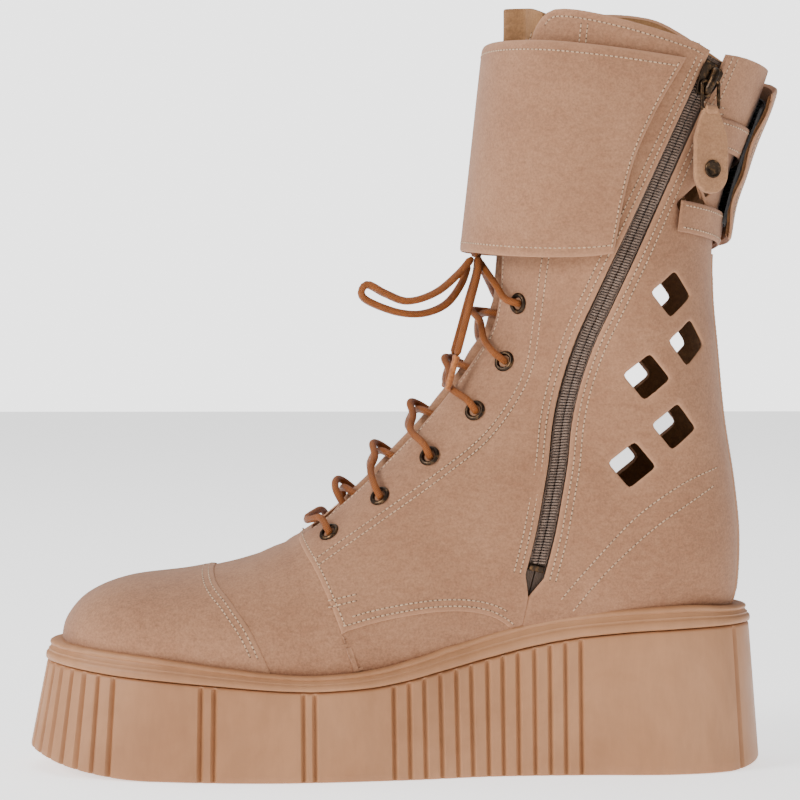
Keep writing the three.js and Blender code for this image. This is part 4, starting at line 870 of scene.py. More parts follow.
def cut_along(bm, cut):
    """Splits the faces near an edge along it and along the bands that let it roll over."""
    faces = list(bm.faces)
    centres = face_centres(faces)
    close = np.abs(cut.distance(centres)) < CUT_REACH + max(cut.bands)
    if cut.centre is not None:
        close &= np.linalg.norm(centres - cut.centre, axis=1) < HOLE_REACH
    near = {f for f, c in zip(faces, close) if c}
    for a, b in zip(cut.line[:-1], cut.line[1:]):
        long = np.linalg.norm(b - a)
        if long < 1e-6:
            continue
        left = np.array([a[1] - b[1], b[0] - a[0]]) / long
        reach = long / 2 + CUT_REACH
        order = list(near)
        flat = cut.flat(face_centres(order)) if order else np.zeros((0, 2))
        mid = (a + b) / 2
        along = np.abs((flat - mid) @ ((b - a) / long)) < reach
        chosen = {f for f, c in zip(order, along) if c}
        normal = cut.view.T @ left
        for band in cut.bands:
            faces = list(chosen)
            geom = list({v for f in faces for v in f.verts}) + list({e for f in faces for e in f.edges}) + faces
            plane = cut.origin + cut.view.T @ (a + left * band)
            made = bmesh.ops.bisect_plane(bm, geom=geom, dist=SAME_POINT, plane_co=plane, plane_no=normal)
            chosen = {g for g in made["geom"] if isinstance(g, bmesh.types.BMFace)}
        near |= chosen
        near = {f for f in near if f.is_valid}


def trimmed(bm, cuts):
    for cut in cuts:
        cut_along(bm, cut)
        faces = list(bm.faces)
        outside = cut.distance(face_centres(faces)) < 0
        bmesh.ops.delete(bm, geom=[f for f, o in zip(faces, outside) if o], context="FACES")
    bm.normal_update()


def rolled_drop(near, width, depth):
    """How far a rolled edge falls at a distance from the edge."""
    f = np.clip(near / width, 0, 1)
    return depth * (1 - np.sqrt(np.maximum(1 - (1 - f) ** 2, 0)))


def mark_wear(bm, near):
    layer = bm.verts.layers.float.new("edge_wear")
    for vert, n in zip(bm.verts, near):
        vert[layer] = math.exp(-n / WEAR_WIDTH)


def roll_over(bm, cuts, out, relief=None):
    """Moves the sheet out from the last, rolls its edges over, adds any folds and marks how
    much each point is worn by being near to an edge."""
    points = coordinates(bm)
    near = np.full(len(points), FAR_FROM_EDGE)
    for cut in cuts:
        if cut.rolled:
            near = np.minimum(near, np.maximum(cut.distance(points), 0))
    lift = out - rolled_drop(near, ROLL_WIDTH, ROLL_DEPTH)
    if relief:
        lift = lift + relief(points)
    normals = np.array([v.normal for v in bm.verts], float)
    place_all(bm, points + normals * lift[:, None])
    mark_wear(bm, near)


def wrapped_share(r):
    return r - 2 if r > 1 else r


def patch(v0, v1, r0, r1, rows, columns):
    """Part of the last's surface as a grid; a share over 1 runs on round the back."""
    def place(u, w):
        r = r0 + (r1 - r0) * u
        return surface_point(v0 + (v1 - v0) * w, np.where(r > 1, r - 2, r))
    bm = mapped_grid(columns, rows, place)
    middle = (v0 + v1) / 2, wrapped_share((r0 + r1) / 2 + 1e-3)
    face_outwards(bm, surface_normal(*middle), surface_point(*middle))
    return bm


def face_outwards(bm, outward, point):
    """Turns a sheet's faces over if the one nearest a point faces the wrong way."""
    nearest = min(bm.faces, key=lambda f: (f.calc_center_median() - Vector(point.tolist())).length)
    if nearest.normal.dot(Vector(outward.tolist())) < 0:
        bmesh.ops.reverse_faces(bm, faces=bm.faces)
    bm.normal_update()


def leather_panel(name, area, cuts, out, node, thickness=2.0, relief=None):
    bm = patch(*area)
    trimmed(bm, cuts)
    roll_over(bm, cuts, out, relief)
    obj = new_object(name, bm, [NUBUCK, FLESH])
    return finish_piece(thickened(obj, thickness), "boot", "nubuck", node)


def diamond_cut(x, z, side):
    """A diamond hole with rounded corners, cut square through the leather."""
    v, r = locate(x, z, side)
    centre, normal = surface_point(v, r), surface_normal(v, r)
    level = np.cross([0, 0, 1.0], normal) * -side
    level /= np.linalg.norm(level)
    upward = np.cross(normal, level) * -side
    tips = np.array(DIAMOND_TIPS, float)
    ring = []
    for i in range(4):
        tip, before, after = tips[i], tips[i - 1], tips[(i + 1) % 4]
        a, b = tip + (before - tip) * HOLE_CORNER, tip + (after - tip) * HOLE_CORNER
        ring += [a, (a + b) / 4 + tip / 2, b]
    ring.append(ring[0])
    return Cut(ring[::-1], np.array([level, upward]), True, centre, HOLE_BANDS)


def zip_path():
    """The zip's centre line with its normals; its upper stretch is straight."""
    flat = eased(ZIP_LINE, 2.0)
    v, r = locate(flat[:, 0], flat[:, 1], MEDIAL)
    points, normals = surface_point(v, r), surface_normal(v, r)
    ends = np.array([ZIP_LINE[0], ZIP_LINE[2]], float)
    (vh, vl), (rh, rl) = locate(ends[:, 0], ends[:, 1], MEDIAL)
    high, low = surface_point(vh, rh), surface_point(vl, rl)
    nh, nl = surface_normal(vh, rh), surface_normal(vl, rl)
    f = np.clip((high[2] - points[:, 2]) / (high[2] - low[2]), 0, 1)[:, None]
    straight = (points[:, 2] >= low[2])[:, None]
    points = np.where(straight, high + (low - high) * f, points)
    normals = np.where(straight, nh + (nl - nh) * f, normals)
    return points, normals / np.linalg.norm(normals, axis=1, keepdims=True)


ZIP_POINTS, ZIP_NORMALS = zip_path()
ZIP_ALONG = np.gradient(ZIP_POINTS, axis=0)
ZIP_ALONG /= np.linalg.norm(ZIP_ALONG, axis=1, keepdims=True)
ZIP_ACROSS = np.cross(ZIP_ALONG, ZIP_NORMALS)
ZIP_SLOT = 7.4
if ZIP_ACROSS[:, 0].mean() < 0:
    ZIP_ACROSS = -ZIP_ACROSS


def zip_side_line(gap):
    """A line beside the zip as seen from the side, from the top down; gap is negative in front."""
    line = (ZIP_POINTS + ZIP_ACROSS * gap)[::2, [0, 2]]
    above = line[0] + (line[0] - line[3]) * 4
    foot = ZIP_POINTS[-1][[0, 2]]
    below = foot + np.array([-2.4, -8]), foot + np.array([-7.5, -34])
    return np.vstack([above, line, *below])


QUARTER_EDGE = np.vstack([eased(QUARTER_FRONT), eased(QUARTER_FOOT)[3:]])
MEDIAL_BRIM, LATERAL_BRIM = eased(MEDIAL_TOP)[::-1], eased(LATERAL_TOP)[::-1]
LATERAL_JOIN = eased(LATERAL_SEAM)
# Where the vamp ends underneath the front quarters.
VAMP_HIDDEN_EDGE = [
    (-31, 128), (-34, 112), (-34.5, 97), (-31, 84), (-20, 70), (-5, 67), (12, 69), (30, 69), (44, 64), (54, 52),
    (58, 34),
]


def throat_cut(side):
    line = eased(THROAT) * [side, 1]
    return Cut(line if side == MEDIAL else line[::-1], FROM_FRONT)


def walking_folds(points):
    """Shallow folds across the vamp where the foot bends."""
    across = points[:, 0] + 0.32 * (points[:, 2] - 60) + 2.5 * np.sin(points[:, 1] / 13)
    fold = np.sin(across / 1.75) * 0.6 + np.sin(across / 1.02 + 1.3) * 0.25
    place = np.exp(-(((points[:, 0] + 47) / 8) ** 2)) * np.clip((points[:, 2] - 50) / 18, 0, 1)
    return 0.42 * fold * place


def shaft_folds(points):
    """Soft hollows in the shaft between the ankle and the cuff."""
    along = points[:, 2] - 0.35 * points[:, 0]
    fold = np.sin(along / 9.5 + points[:, 1] / 21) * 0.5 + np.sin(along / 5.3 + points[:, 0] / 17) * 0.22
    place = np.exp(-(((points[:, 2] - 128) / 42) ** 2)) * np.clip((points[:, 0] + 5) / 22, 0, 1)
    return 0.36 * fold * place


def make_upper():
    toe = eased(TOE_SEAM)
    area = (0.02, 6, -0.995, 0.995, 62, 130)
    leather_panel("toe_cap_leather", area, [Cut(toe[::-1])], FRONT_OUT, "toe_cap", 1.6)
    hidden = [Cut(toe + [-7, 0], rolled=False), Cut(eased(VAMP_HIDDEN_EDGE, 5)[::-1], rolled=False)]
    area = (2.4, 11, -0.995, 0.995, 90, 130)
    leather_panel("vamp_leather", area, hidden, 0, "vamp", 1.9, walking_folds)
    for side, name in SIDES:
        brim = MEDIAL_BRIM if side == MEDIAL else LATERAL_BRIM
        holes = [diamond_cut(x, z, side) for x, z in DIAMONDS]
        if side == MEDIAL:
            front_edge, rear_edge = Cut(zip_side_line(-ZIP_SLOT / 2)[::-1]), Cut(zip_side_line(ZIP_SLOT / 2))
        else:
            front_edge = Cut(LATERAL_JOIN[::-1])
            rear_edge = Cut(LATERAL_JOIN + [-6, 0], rolled=False)
        edges = [Cut(QUARTER_EDGE), front_edge, throat_cut(side), Cut(brim)]
        area = (5.2, 21.6, 0, 0.97 * side, 250, 74)
        node = name + "_front_quarter"
        leather_panel(node + "_leather", area, edges, FRONT_OUT, node, relief=shaft_folds)
        area = (7, 20.6, 0.3 * side, side, 190, 64)
        node = name + "_rear_quarter"
        leather_panel(node + "_leather", area, [rear_edge, Cut(brim)] + holes, REAR_OUT, node)
    stay = [Cut([(-9, 300), (-9, 20)], FROM_FRONT), Cut([(9, 20), (9, 300)], FROM_FRONT)]
    leather_panel("backstay_leather", (11, 17.6, 0.84, 1.16, 90, 30), stay, BACKSTAY_OUT, "backstay", 1.4)


def make_collar():
    """The collar goes round the back from the zip to the lateral seam, so each side has its own cuts."""
    bm = patch(15.6, 20.6, 0.45, 1.6, 70, 120)
    seam, zip_edge = Cut(eased(COLLAR_SEAM)), Cut(zip_side_line(ZIP_SLOT / 2 + 0.2))
    medial_brim, lateral_brim = Cut(MEDIAL_BRIM), Cut(LATERAL_BRIM)
    for cut in (seam, zip_edge, medial_brim, lateral_brim):
        cut_along(bm, cut)
    faces = list(bm.faces)
    centres = face_centres(faces)
    medial = centres[:, 1] < 0
    keep = seam.distance(centres) > 0
    keep &= np.where(medial, medial_brim.distance(centres), lateral_brim.distance(centres)) > 0
    lateral_edge = Cut(LATERAL_JOIN + [0.4, 0])
    keep &= np.where(medial, zip_edge.distance(centres), lateral_edge.distance(centres)) > 0
    bmesh.ops.delete(bm, geom=[f for f, k in zip(faces, keep) if not k], context="FACES")
    bm.normal_update()
    roll_over(bm, [seam], COLLAR_OUT)
    obj = thickened(new_object("rear_collar_leather", bm, [NUBUCK, FLESH]), 2.4)
    finish_piece(obj, "boot", "nubuck", "rear_collar")


TONGUE_FOOT, TONGUE_LONG, TONGUE_TIP = 5.35, 14.35, 283


def make_tongue():
    """The tongue bulges through the throat and lies flat under the quarters, with its bare tip turned out."""
    def place(u, w):
        v = TONGUE_FOOT + w * TONGUE_LONG
        across = u * 2 - 1
        half = 17 + 10 * np.clip((v - 5.3) / 10, 0, 1)
        target = np.abs(across) * half
        open_up = np.clip((v - 6.05) / 0.8, 0, 1)
        edge = np.clip((target - 3) / 6.5, 0, 1)
        bulge = -3.0 + 3.4 * open_up
        depth = bulge + (-7.1 - bulge) * edge * edge * (3 - 2 * edge)
        creases = 0.35 * np.sin(w * 78 + 3 * across) * np.exp(-((w - 0.35) / 0.16) ** 2) * (1 - edge)
        return surface(v, ring_beside(v, across * half), depth + creases)
    bm = mapped_grid(40, 190, place)
    bm.faces.ensure_lookup_table()
    if bm.faces[len(bm.faces) // 2].normal.x > 0:
        bmesh.ops.reverse_faces(bm, faces=bm.faces)
    for face in bm.faces:
        face.material_index = 1 if face.calc_center_median().z > TONGUE_TIP else 0
    obj = thickened(new_object("tongue_leather", bm, [SOFT_NUBUCK, FLESH]), 2.0)
    rounding = obj.modifiers.new("soft_edge", "BEVEL")
    rounding.width, rounding.segments, rounding.limit_method = 0.0006, 2, "ANGLE"
    rounding.angle_limit = math.radians(50)
    finish_piece(applied(obj), "boot", "nubuck", "tongue")


make_upper()
make_collar()
make_tongue()


# ---------------------------------------------------------------- stitching

STITCH_PITCH, STITCH_LONG, STITCH_HALF = 1.85, 1.42, 0.3
NEEDLE_HOLE_SHADE_SIZE = (0.3, 0.34, 0.12)


def stitch_shape():
    """One stitch and, at its end, a flat dark dab that paints the shade of the needle hole."""
    bm = bmesh.new()
    bmesh.ops.create_uvsphere(bm, u_segments=6, v_segments=5, radius=1)
    bmesh.ops.rotate(bm, verts=bm.verts, matrix=Matrix.Rotation(math.pi / 2, 3, "Y"))
    bmesh.ops.scale(bm, verts=bm.verts, vec=(STITCH_LONG / 2, STITCH_HALF, STITCH_HALF * 0.75))
    thread = set(bm.faces)
    # The dark dab at the stitch's end is painted shade standing in for the hollow of the needle hole.
    made = bmesh.ops.create_uvsphere(bm, u_segments=6, v_segments=4, radius=1)
    bmesh.ops.scale(bm, verts=made["verts"], vec=NEEDLE_HOLE_SHADE_SIZE)
    bmesh.ops.translate(bm, verts=made["verts"], vec=(STITCH_PITCH / 2, 0, 0.02))
    for face in bm.faces:
        face.material_index = 0 if face in thread else 1
    return template(bm, "stitch")


STITCH = stitch_shape()


def stitches_on(points, normals):
    """Places for stitches along a path on a surface."""
    run = run_along(points)
    count = max(int(run[-1] / STITCH_PITCH), 1)
    at = (np.arange(count) + 0.5) * run[-1] / count
    ahead = at_runs(np.minimum(at + 0.8, run[-1]), run, points)
    behind = at_runs(np.maximum(at - 0.8, 0), run, points)
    facing = at_runs(at, run, normals)
    return [standing(p, n, t) for p, n, t in zip(at_runs(at, run, points), facing, ahead - behind)]


def stitches_on_last(v, r, out):
    """Stitches along a path on the last, a distance out from it."""
    normals = surface_normal(v, r)
    return stitches_on(surface_point(v, r) + normals * out, normals)


def side_row(line, side, out):
    """Stitches along a line seen from the side."""
    dense = resampled(line, 1.0)
    return stitches_on_last(*locate(dense[:, 0], dense[:, 1], side), out)


def stitched(name, places, body="boot"):
    return finish_piece(new_object(name, scattered(STITCH, places), [THREAD, NEEDLE_HOLE_SHADE], 60), body, "nubuck")


def part_of(line, low, high, axis=0):
    """The part of a line between two values of x, or of height if axis is 1."""
    return line[(line[:, axis] > low) & (line[:, axis] < high)]


def throat_row(side, gap):
    """Stitches beside the throat's edge, whose half width follows the height."""
    v = np.linspace(6.15, 19.2, 160)
    z = surface_point(v, 0.1 * side)[:, 2]
    rows = np.array(THROAT, float)
    y = np.interp(z, rows[:, 1], rows[:, 0]) + gap
    return stitches_on_last(v, ring_beside(v, y * side), FRONT_OUT)


QUARTER_BAR = [(-27.4, 67.2), (-16.5, 69.8)]
FACING_ROW = [
    (-32.5, 81.5), (-6.5, 99.6), (13, 113.6), (30.5, 127.5), (41.5, 141), (49, 156), (52.3, 175.5), (55, 197),
    (60, 230), (66, 262), (69, 286),
]
BACKSTAY_ROW = 6.6


def stitch_front(side, name):
    rows = side_row(part_of(offset_line(eased(QUARTER_FRONT, 1.5), 2.1), 57.5, 93, axis=1), side, FRONT_OUT)
    foot = eased(QUARTER_FOOT, 1.5)
    for gap, first, last in ((2.1, -22, 44), (4.6, -19, 42)):
        rows += side_row(part_of(offset_line(foot, gap), first, last), side, FRONT_OUT)
    for gap in (0.0, -2.4):
        rows += side_row(offset_line(eased(FACING_ROW), gap), side, FRONT_OUT)
        rows += side_row(np.array(QUARTER_BAR) + [0, gap], side, FRONT_OUT)
    rows += throat_row(side, 2.3)
    brim, end_x = (MEDIAL_BRIM, 115) if side == MEDIAL else (LATERAL_BRIM, 118)
    rows += side_row(part_of(offset_line(brim, 3.0), 56, end_x), side, FRONT_OUT)
    stitched("front_quarter_stitching_" + name, rows)


def stitch_zip():
    """Two rows on each side of the zip; those behind it climb onto the collar."""
    rows = []
    for gap, low, out in ((-5.9, 64, FRONT_OUT), (-8.3, 64, FRONT_OUT), (5.9, 70, REAR_OUT), (8.3, 70, REAR_OUT)):
        line = part_of(ZIP_POINTS + ZIP_ACROSS * gap, low, 275, axis=2)
        above = out + (COLLAR_OUT - REAR_OUT) * (line[:, 2] > 251) * (gap > 0)
        rows += stitches_on_last(*locate(line[:, 0], line[:, 2], MEDIAL), above[:, None])
    stitched("zip_stitching", rows)


def make_stitching():
    toe = eased(TOE_SEAM, 1.5)
    for side, name in SIDES:
        rows = []
        for gap in (-2.0, -4.4):
            rows += side_row(part_of(offset_line(toe, gap), 46, 90, axis=1), side, FRONT_OUT)
        stitched("toe_cap_stitching_" + name, rows)
        stitch_front(side, name)
        rows = []
        for line in (COUNTER_UPPER, COUNTER_LOWER):
            rows += side_row(eased(line, 1.5), side, REAR_OUT)
        for gap in (2.2, 4.6):
            rows += side_row(part_of(offset_line(eased(COLLAR_SEAM, 1.5), gap), 114, 123.5), side, COLLAR_OUT)
        stitched("heel_stitching_" + name, rows)
    stitch_zip()
    rows = []
    for gap in (-2.4, -4.8):
        rows += side_row(part_of(offset_line(LATERAL_JOIN, gap), 66, 289, axis=1), LATERAL, FRONT_OUT)
    stitched("lateral_seam_stitching", rows)
    rows = []
    for side in (MEDIAL, LATERAL):
        v = np.linspace(12.1, 17.2, 120)
        r = np.full(v.shape, 0.97 * side)
        for _ in range(12):
            r = r - side * 0.5 * (BACKSTAY_ROW - np.abs(surface_point(v, r)[:, 1])) / 45
        rows += stitches_on_last(v, r, BACKSTAY_OUT)
    stitched("backstay_stitching", rows)


make_stitching()


# ---------------------------------------------------------------- sole

RING_COUNT = 1500


def sole_ring():
    """The sole's outline in even steps, its outward directions and the length along it."""
    rows = np.array(SOLE_PLAN, float)
    closed = np.vstack([rows[-2:], rows, rows[:3]])
    u = 2 + np.linspace(0, len(rows), 4001)[:-1]
    dense = spline(closed, u)
    dense = np.vstack([dense, dense[:1]])
    run = run_along(dense)
    at = np.linspace(0, run[-1], RING_COUNT + 1)
    ring = at_runs(at, run, dense)
    ahead = np.roll(ring[:-1], -3, axis=0) - np.roll(ring[:-1], 3, axis=0)
    ahead = np.vstack([ahead, ahead[:1]])
    ahead /= np.linalg.norm(ahead, axis=1, keepdims=True)
    out = np.stack([ahead[:, 1], -ahead[:, 0]], 1)
    if (out * ring).sum() < 0:
        out = -out
    return ring, out, at


RING, RING_OUT, RING_RUN = sole_ring()
GROOVE_DEPTH, GROOVE_HALF = 1.7, 1.35
GROOVE_MARKS = [-75, -69.8, -36.2, -32, 129.6] + [-2.4 + 6.0 * i for i in range(13)]
TOE_GROOVES_FROM, TOE_GROOVE_PITCH = -108.5, 6.4


def groove_places():
    """Where the wall's upright grooves lie, as lengths along its outline."""
    x, y = RING[:-1, 0], RING[:-1, 1]
    run, total = RING_RUN[:-1], RING_RUN[-1]

    def run_at(mark, side):
        return run[np.where(np.sign(y) == side, np.abs(x - mark), 1e3).argmin()]

    places = [run_at(mark, side) for side in (MEDIAL, LATERAL) for mark in GROOVE_MARKS]
    a, b = sorted(run_at(TOE_GROOVES_FROM, side) for side in (MEDIAL, LATERAL))
    start, long = (a, b - a) if b - a < total / 2 else (b, total - b + a)
    steps = int(round(long / TOE_GROOVE_PITCH))
    places += [(start + long * i / steps) % total for i in range(steps + 1)]
    return np.array(places), total


def groove_depth():
    """How deep the wall is cut at each step of the outline, from 0 to 1."""
    places, total = groove_places()
    away = np.abs(RING_RUN[:, None] - places[None])
    away = np.minimum(away, total - away).min(1)
    f = np.clip(away / GROOVE_HALF, 0, 1)
    return 1 - f * f * (3 - 2 * f)


def flare(x):
    """How much the wall leans out below, more round the toe."""
    return 0.075 + 0.12 * np.clip((-x - 90) / 47, 0, 1)


# The wall's rows from the ground up: height, distance out and share of the groove's depth.
WALL_ROWS = [
    (0.0, -2.2, 0.0), (0.0, -0.9, 0.35), (0.35, -0.25, 0.7), (1.0, 0.0, 1.0), (0.06, 0.0, 1.0), (0.14, 0.0, 1.0),
    (0.24, 0.0, 1.0), (0.36, 0.0, 1.0), (0.5, 0.0, 1.0), (0.62, 0.0, 1.0), (0.74, 0.0, 1.0), (0.84, 0.0, 1.0),
    (0.91, 0.0, 1.0), (0.955, 0.0, 1.0), (-1.3, 0.0, 0.8), (-0.7, -0.1, 0.3), (-0.25, -0.5, 0.0), (0.0, -1.3, 0.0),
    (0.0, -5.0, 0.0),
]


GROUND_ROWS, TREAD_PITCH, SMALLEST_LUG = 4, 7.5, 60


def wall_level(row, x):
    """Height of a wall row: near the ground or the top in millimetres, else a share."""
    h = WALL_ROWS[row][0]
    ground, top = height_over(GROUND_LINE, x), height_over(PARTING_LINE, x)
    if row < GROUND_ROWS:
        return ground + h
    if h <= 0:
        return top + h
    return ground + 1 + (top - ground - 2.3) * h


def make_sole():
    rows = len(WALL_ROWS) - 1
    deep = groove_depth()
    table = np.array(WALL_ROWS)

    def place(u, w):
        i = np.rint(u * RING_COUNT).astype(int) % RING_COUNT
        row = np.rint(w * rows).astype(int)
        points, out = RING[i], RING_OUT[i]
        x = points[:, 0]
        heights = np.choose(row, [wall_level(k, x) for k in range(rows + 1)])
        lean = flare(x) * (height_over(PARTING_LINE, x) - heights)
        move = lean + table[row, 1] - GROOVE_DEPTH * deep[i] * table[row, 2]
        return np.column_stack([x + out[:, 0] * move, points[:, 1] + out[:, 1] * move, heights])

    bm = mapped_grid(RING_COUNT, rows, place, closed=True)
    bottom = [e for e in bm.edges if e.is_boundary and max(v.co.z for v in e.verts) < 30]
    tread = bmesh.ops.holes_fill(bm, edges=bottom, sides=RING_COUNT + 8)["faces"]
    for x in np.arange(-128, 136, TREAD_PITCH):
        geom = list({v for f in tread for v in f.verts}) + list({e for f in tread for e in f.edges}) + list(tread)
        cut = bmesh.ops.bisect_plane(bm, geom=geom, dist=1e-3, plane_co=(x, 0, 0), plane_no=(1, 0, 0))
        tread = [g for g in cut["geom"] if isinstance(g, bmesh.types.BMFace)]
    bmesh.ops.recalc_face_normals(bm, faces=bm.faces)
    tread = [f for f in tread if f.is_valid and f.calc_area() > SMALLEST_LUG]
    bmesh.ops.inset_individual(bm, faces=tread, thickness=1.4, depth=0)
    bmesh.ops.inset_individual(bm, faces=tread, thickness=0.5, depth=-1.6)
    top = [e for e in bm.edges if e.is_boundary]
    bmesh.ops.holes_fill(bm, edges=top, sides=RING_COUNT + 8)
    finish_piece(new_object("moulded_platform", bm, [SOLE], 32), "boot", "sole", "platform_sole")


# The welt's rows, from inside its foot round to inside its top: whether the height is over the
# foot (0) or the top (1), that height, and the distance out.
WELT_ROWS = [
    (0, 0.3, -9), (0, 0.3, -0.6), (0, 0.55, 0.35), (0, 1.0, 0.6), (0, 2.0, 0.62), (0, 3.0, 0.45), (0, 3.5, 0.1),
    (0, 3.75, -0.35), (0, 4.1, -0.5), (0, 4.6, -0.4), (1, -3.1, -1.2), (1, -2.3, -1.5), (1, -1.9, -1.15),
    (1, -1.3, -0.95), (1, -0.6, -1.2), (1, -0.15, -1.8), (1, 0.1, -2.7), (1, 0.15, -4.0), (1, -0.1, -6.5),
    (1, -0.9, -9), (1, -3, -9.5),
]
WELT_TALL = 8.5


def make_welt():
    rows = len(WELT_ROWS) - 1

    def place(u, w):
        i = np.rint(u * RING_COUNT).astype(int) % RING_COUNT
        row = np.rint(w * rows).astype(int)
        points, out = RING[i], RING_OUT[i]
        x = points[:, 0]
        low, high = height_over(PARTING_LINE, x), height_over(WELT_LINE, x)
        table = np.array(WELT_ROWS)[row]
        tall = np.clip((high - low) / WELT_TALL, 0.55, 1.2)
        z = np.where(table[:, 0] > 0, high, low) + table[:, 1] * tall
        return np.column_stack([x + out[:, 0] * table[:, 2], points[:, 1] + out[:, 1] * table[:, 2], z])

    bm = mapped_grid(RING_COUNT // 2, rows, place, closed=True)
    bmesh.ops.bridge_loops(bm, edges=[e for e in bm.edges if e.is_boundary])
    bmesh.ops.recalc_face_normals(bm, faces=bm.faces)
    finish_piece(new_object("moulded_welt", bm, [SOLE], 50), "boot", "sole", "welt_band")


make_sole()
make_welt()


# ---------------------------------------------------------------- side zip

UNDER_LEATHER = -LEATHER - 2 * GAP
COIL_RADIUS, COIL_TALL, COIL_PITCH, COIL_WIRE = 1.15, 0.8, 1.1, 0.37
COIL_STEPS, COIL_OUT = 10, UNDER_LEATHER + GAP + 0.9
TAPE_RISE, TAPE_WIDTH, TAPE_LONG, COIL_RISE = (70, 273.5), 7.5, 205, (80, 270.5)
JOINTS = {j["name"]: j for j in frame["joints"]}


def joint_line(name):
    """A joint's point, in millimetres on the last, and its direction."""
    joint = JOINTS[name]
    axis = np.array(joint["axis"], float)
    return np.array(joint.get("pos_m") or (0, 0, 0), float) * 1000 - SHIFT, axis / np.linalg.norm(axis)


def zip_stretch(low, high):
    return (ZIP_POINTS[:, 2] > low) & (ZIP_POINTS[:, 2] < high)


def make_tapes():
    """The tapes go on below the bottom stop, along the zip's last direction."""
    inner = UNDER_LEATHER + 0.15
    keep = zip_stretch(*TAPE_RISE)
    line, normal, across = ZIP_POINTS[keep], ZIP_NORMALS[keep], ZIP_ACROSS[keep]
    below = line[-1] + ZIP_ALONG[-1] * np.arange(2, 11, 2)[:, None]
    line = np.vstack([line, below])
    normal, across = (np.vstack([a, np.repeat(a[-1:], len(below), 0)]) for a in (normal, across))
    rows = len(line) - 1
    for name, near, far in (("front", -0.25, -TAPE_WIDTH), ("rear", 0.25, TAPE_WIDTH)):
        def place(u, w):
            i = np.rint(w * rows).astype(int)
            wide = (near + (far - near) * u)[:, None]
            return line[i] + across[i] * wide + normal[i] * inner
        bm = mapped_grid(10, rows, place, (abs(far - near), TAPE_LONG))
        bmesh.ops.recalc_face_normals(bm, faces=bm.faces)
        obj = thickened(new_object("zip_tape_web_" + name, bm, [TAPE]), 0.7, inner=0, offset=0)
        finish_piece(obj, "boot", "zip_tape", "zip_tape_" + name)


def make_coils():
    """Two coils whose turns lie between each other's, and a cord beside each."""
    whole = np.hstack([ZIP_POINTS, ZIP_NORMALS, ZIP_ACROSS])[zip_stretch(*COIL_RISE)]
    path = resampled(whole, COIL_PITCH / COIL_STEPS)
    line, normal, across = path[:, :3], path[:, 3:6], path[:, 6:9]
    turn = np.arange(len(line)) / COIL_STEPS * 2 * math.pi
    for sign, name in ((-1, "front"), (1, "rear")):
        phase = turn + (math.pi if sign > 0 else 0)
        side = sign * (COIL_RADIUS + 0.35) + COIL_RADIUS * np.cos(phase)
        wire = line + across * side[:, None] + normal * (COIL_OUT + COIL_TALL * np.sin(phase))[:, None]
        obj = new_object("zip_teeth_" + name, tube_mesh(wire, COIL_WIRE, 6), [COIL], 80)
        finish_piece(obj, "boot", "zip_coil", "zip_coil_" + name)
        edge = resampled(line + across * (sign * 3.0) + normal * (COIL_OUT - 0.3), 2.5)
        obj = new_object("zip_cord_" + name, tube_mesh(edge, 0.42, 8), [COIL], 80)
        finish_piece(obj, "boot", "zip_coil")


STOP_SIZE = (6.0, 2.6, 1.7)


def make_stop(name, z, node):
    i = np.abs(ZIP_POINTS[:, 2] - z).argmin()
    bm = bmesh.new()
    bmesh.ops.create_cube(bm, size=1)
    bmesh.ops.scale(bm, verts=bm.verts, vec=STOP_SIZE)
    bmesh.ops.bevel(bm, geom=bm.edges, offset=0.5, segments=3, profile=0.5, affect="EDGES", material=-1)
    place = standing(ZIP_POINTS[i] + ZIP_NORMALS[i] * COIL_OUT, ZIP_NORMALS[i], ZIP_ACROSS[i])
    bmesh.ops.transform(bm, verts=bm.verts, matrix=place)
    finish_piece(new_object(name, bm, [BRASS]), "boot", "brass", node)


def plate_mesh(outline, low, high, soften=0.3):
    """A flat plate from its outline, with rounded edges."""
    bm = bmesh.new()
    face = bm.faces.new([bm.verts.new((x, y, low)) for x, y in outline])
    made = bmesh.ops.extrude_face_region(bm, geom=[face])
    up = [g for g in made["geom"] if isinstance(g, bmesh.types.BMVert)]
    bmesh.ops.translate(bm, verts=up, vec=(0, 0, high - low))
    bmesh.ops.recalc_face_normals(bm, faces=bm.faces)
    sharp = [e for e in bm.edges if e.calc_face_angle(0) > 0.6]
    bmesh.ops.bevel(bm, geom=sharp, offset=soften, segments=3, profile=0.5, affect="EDGES", material=-1)
    return bm


SLIDER_HALF, SLIDER_TO_PIN = 6.25, 3.3
SLIDER_ROOF = [
    (-2.9, -SLIDER_HALF), (2.9, -SLIDER_HALF), (3.9, -2.4), (4.5, 1.5), (4.5, 5.2), (3.2, SLIDER_HALF),
    (0.8, SLIDER_HALF), (0, SLIDER_HALF - 1.2), (-0.8, SLIDER_HALF), (-3.2, SLIDER_HALF), (-4.5, 5.2), (-4.5, 1.5),
    (-3.9, -2.4),
]
SLIDER_KEEL = [
    (-2.2, -SLIDER_HALF + 1), (2.4, -SLIDER_HALF + 1), (2.4, SLIDER_HALF - 1), (-2.2, SLIDER_HALF - 1),
]
LOOP_HALF, LOOP_FOOT, LOOP_CORNER, CORNER_STEPS = 3.65, -11.0, 1.5, 5


def frame_of(origin, x, y, z):
    return Matrix.Translation(origin) @ Matrix((x, y, z)).transposed().to_4x4()


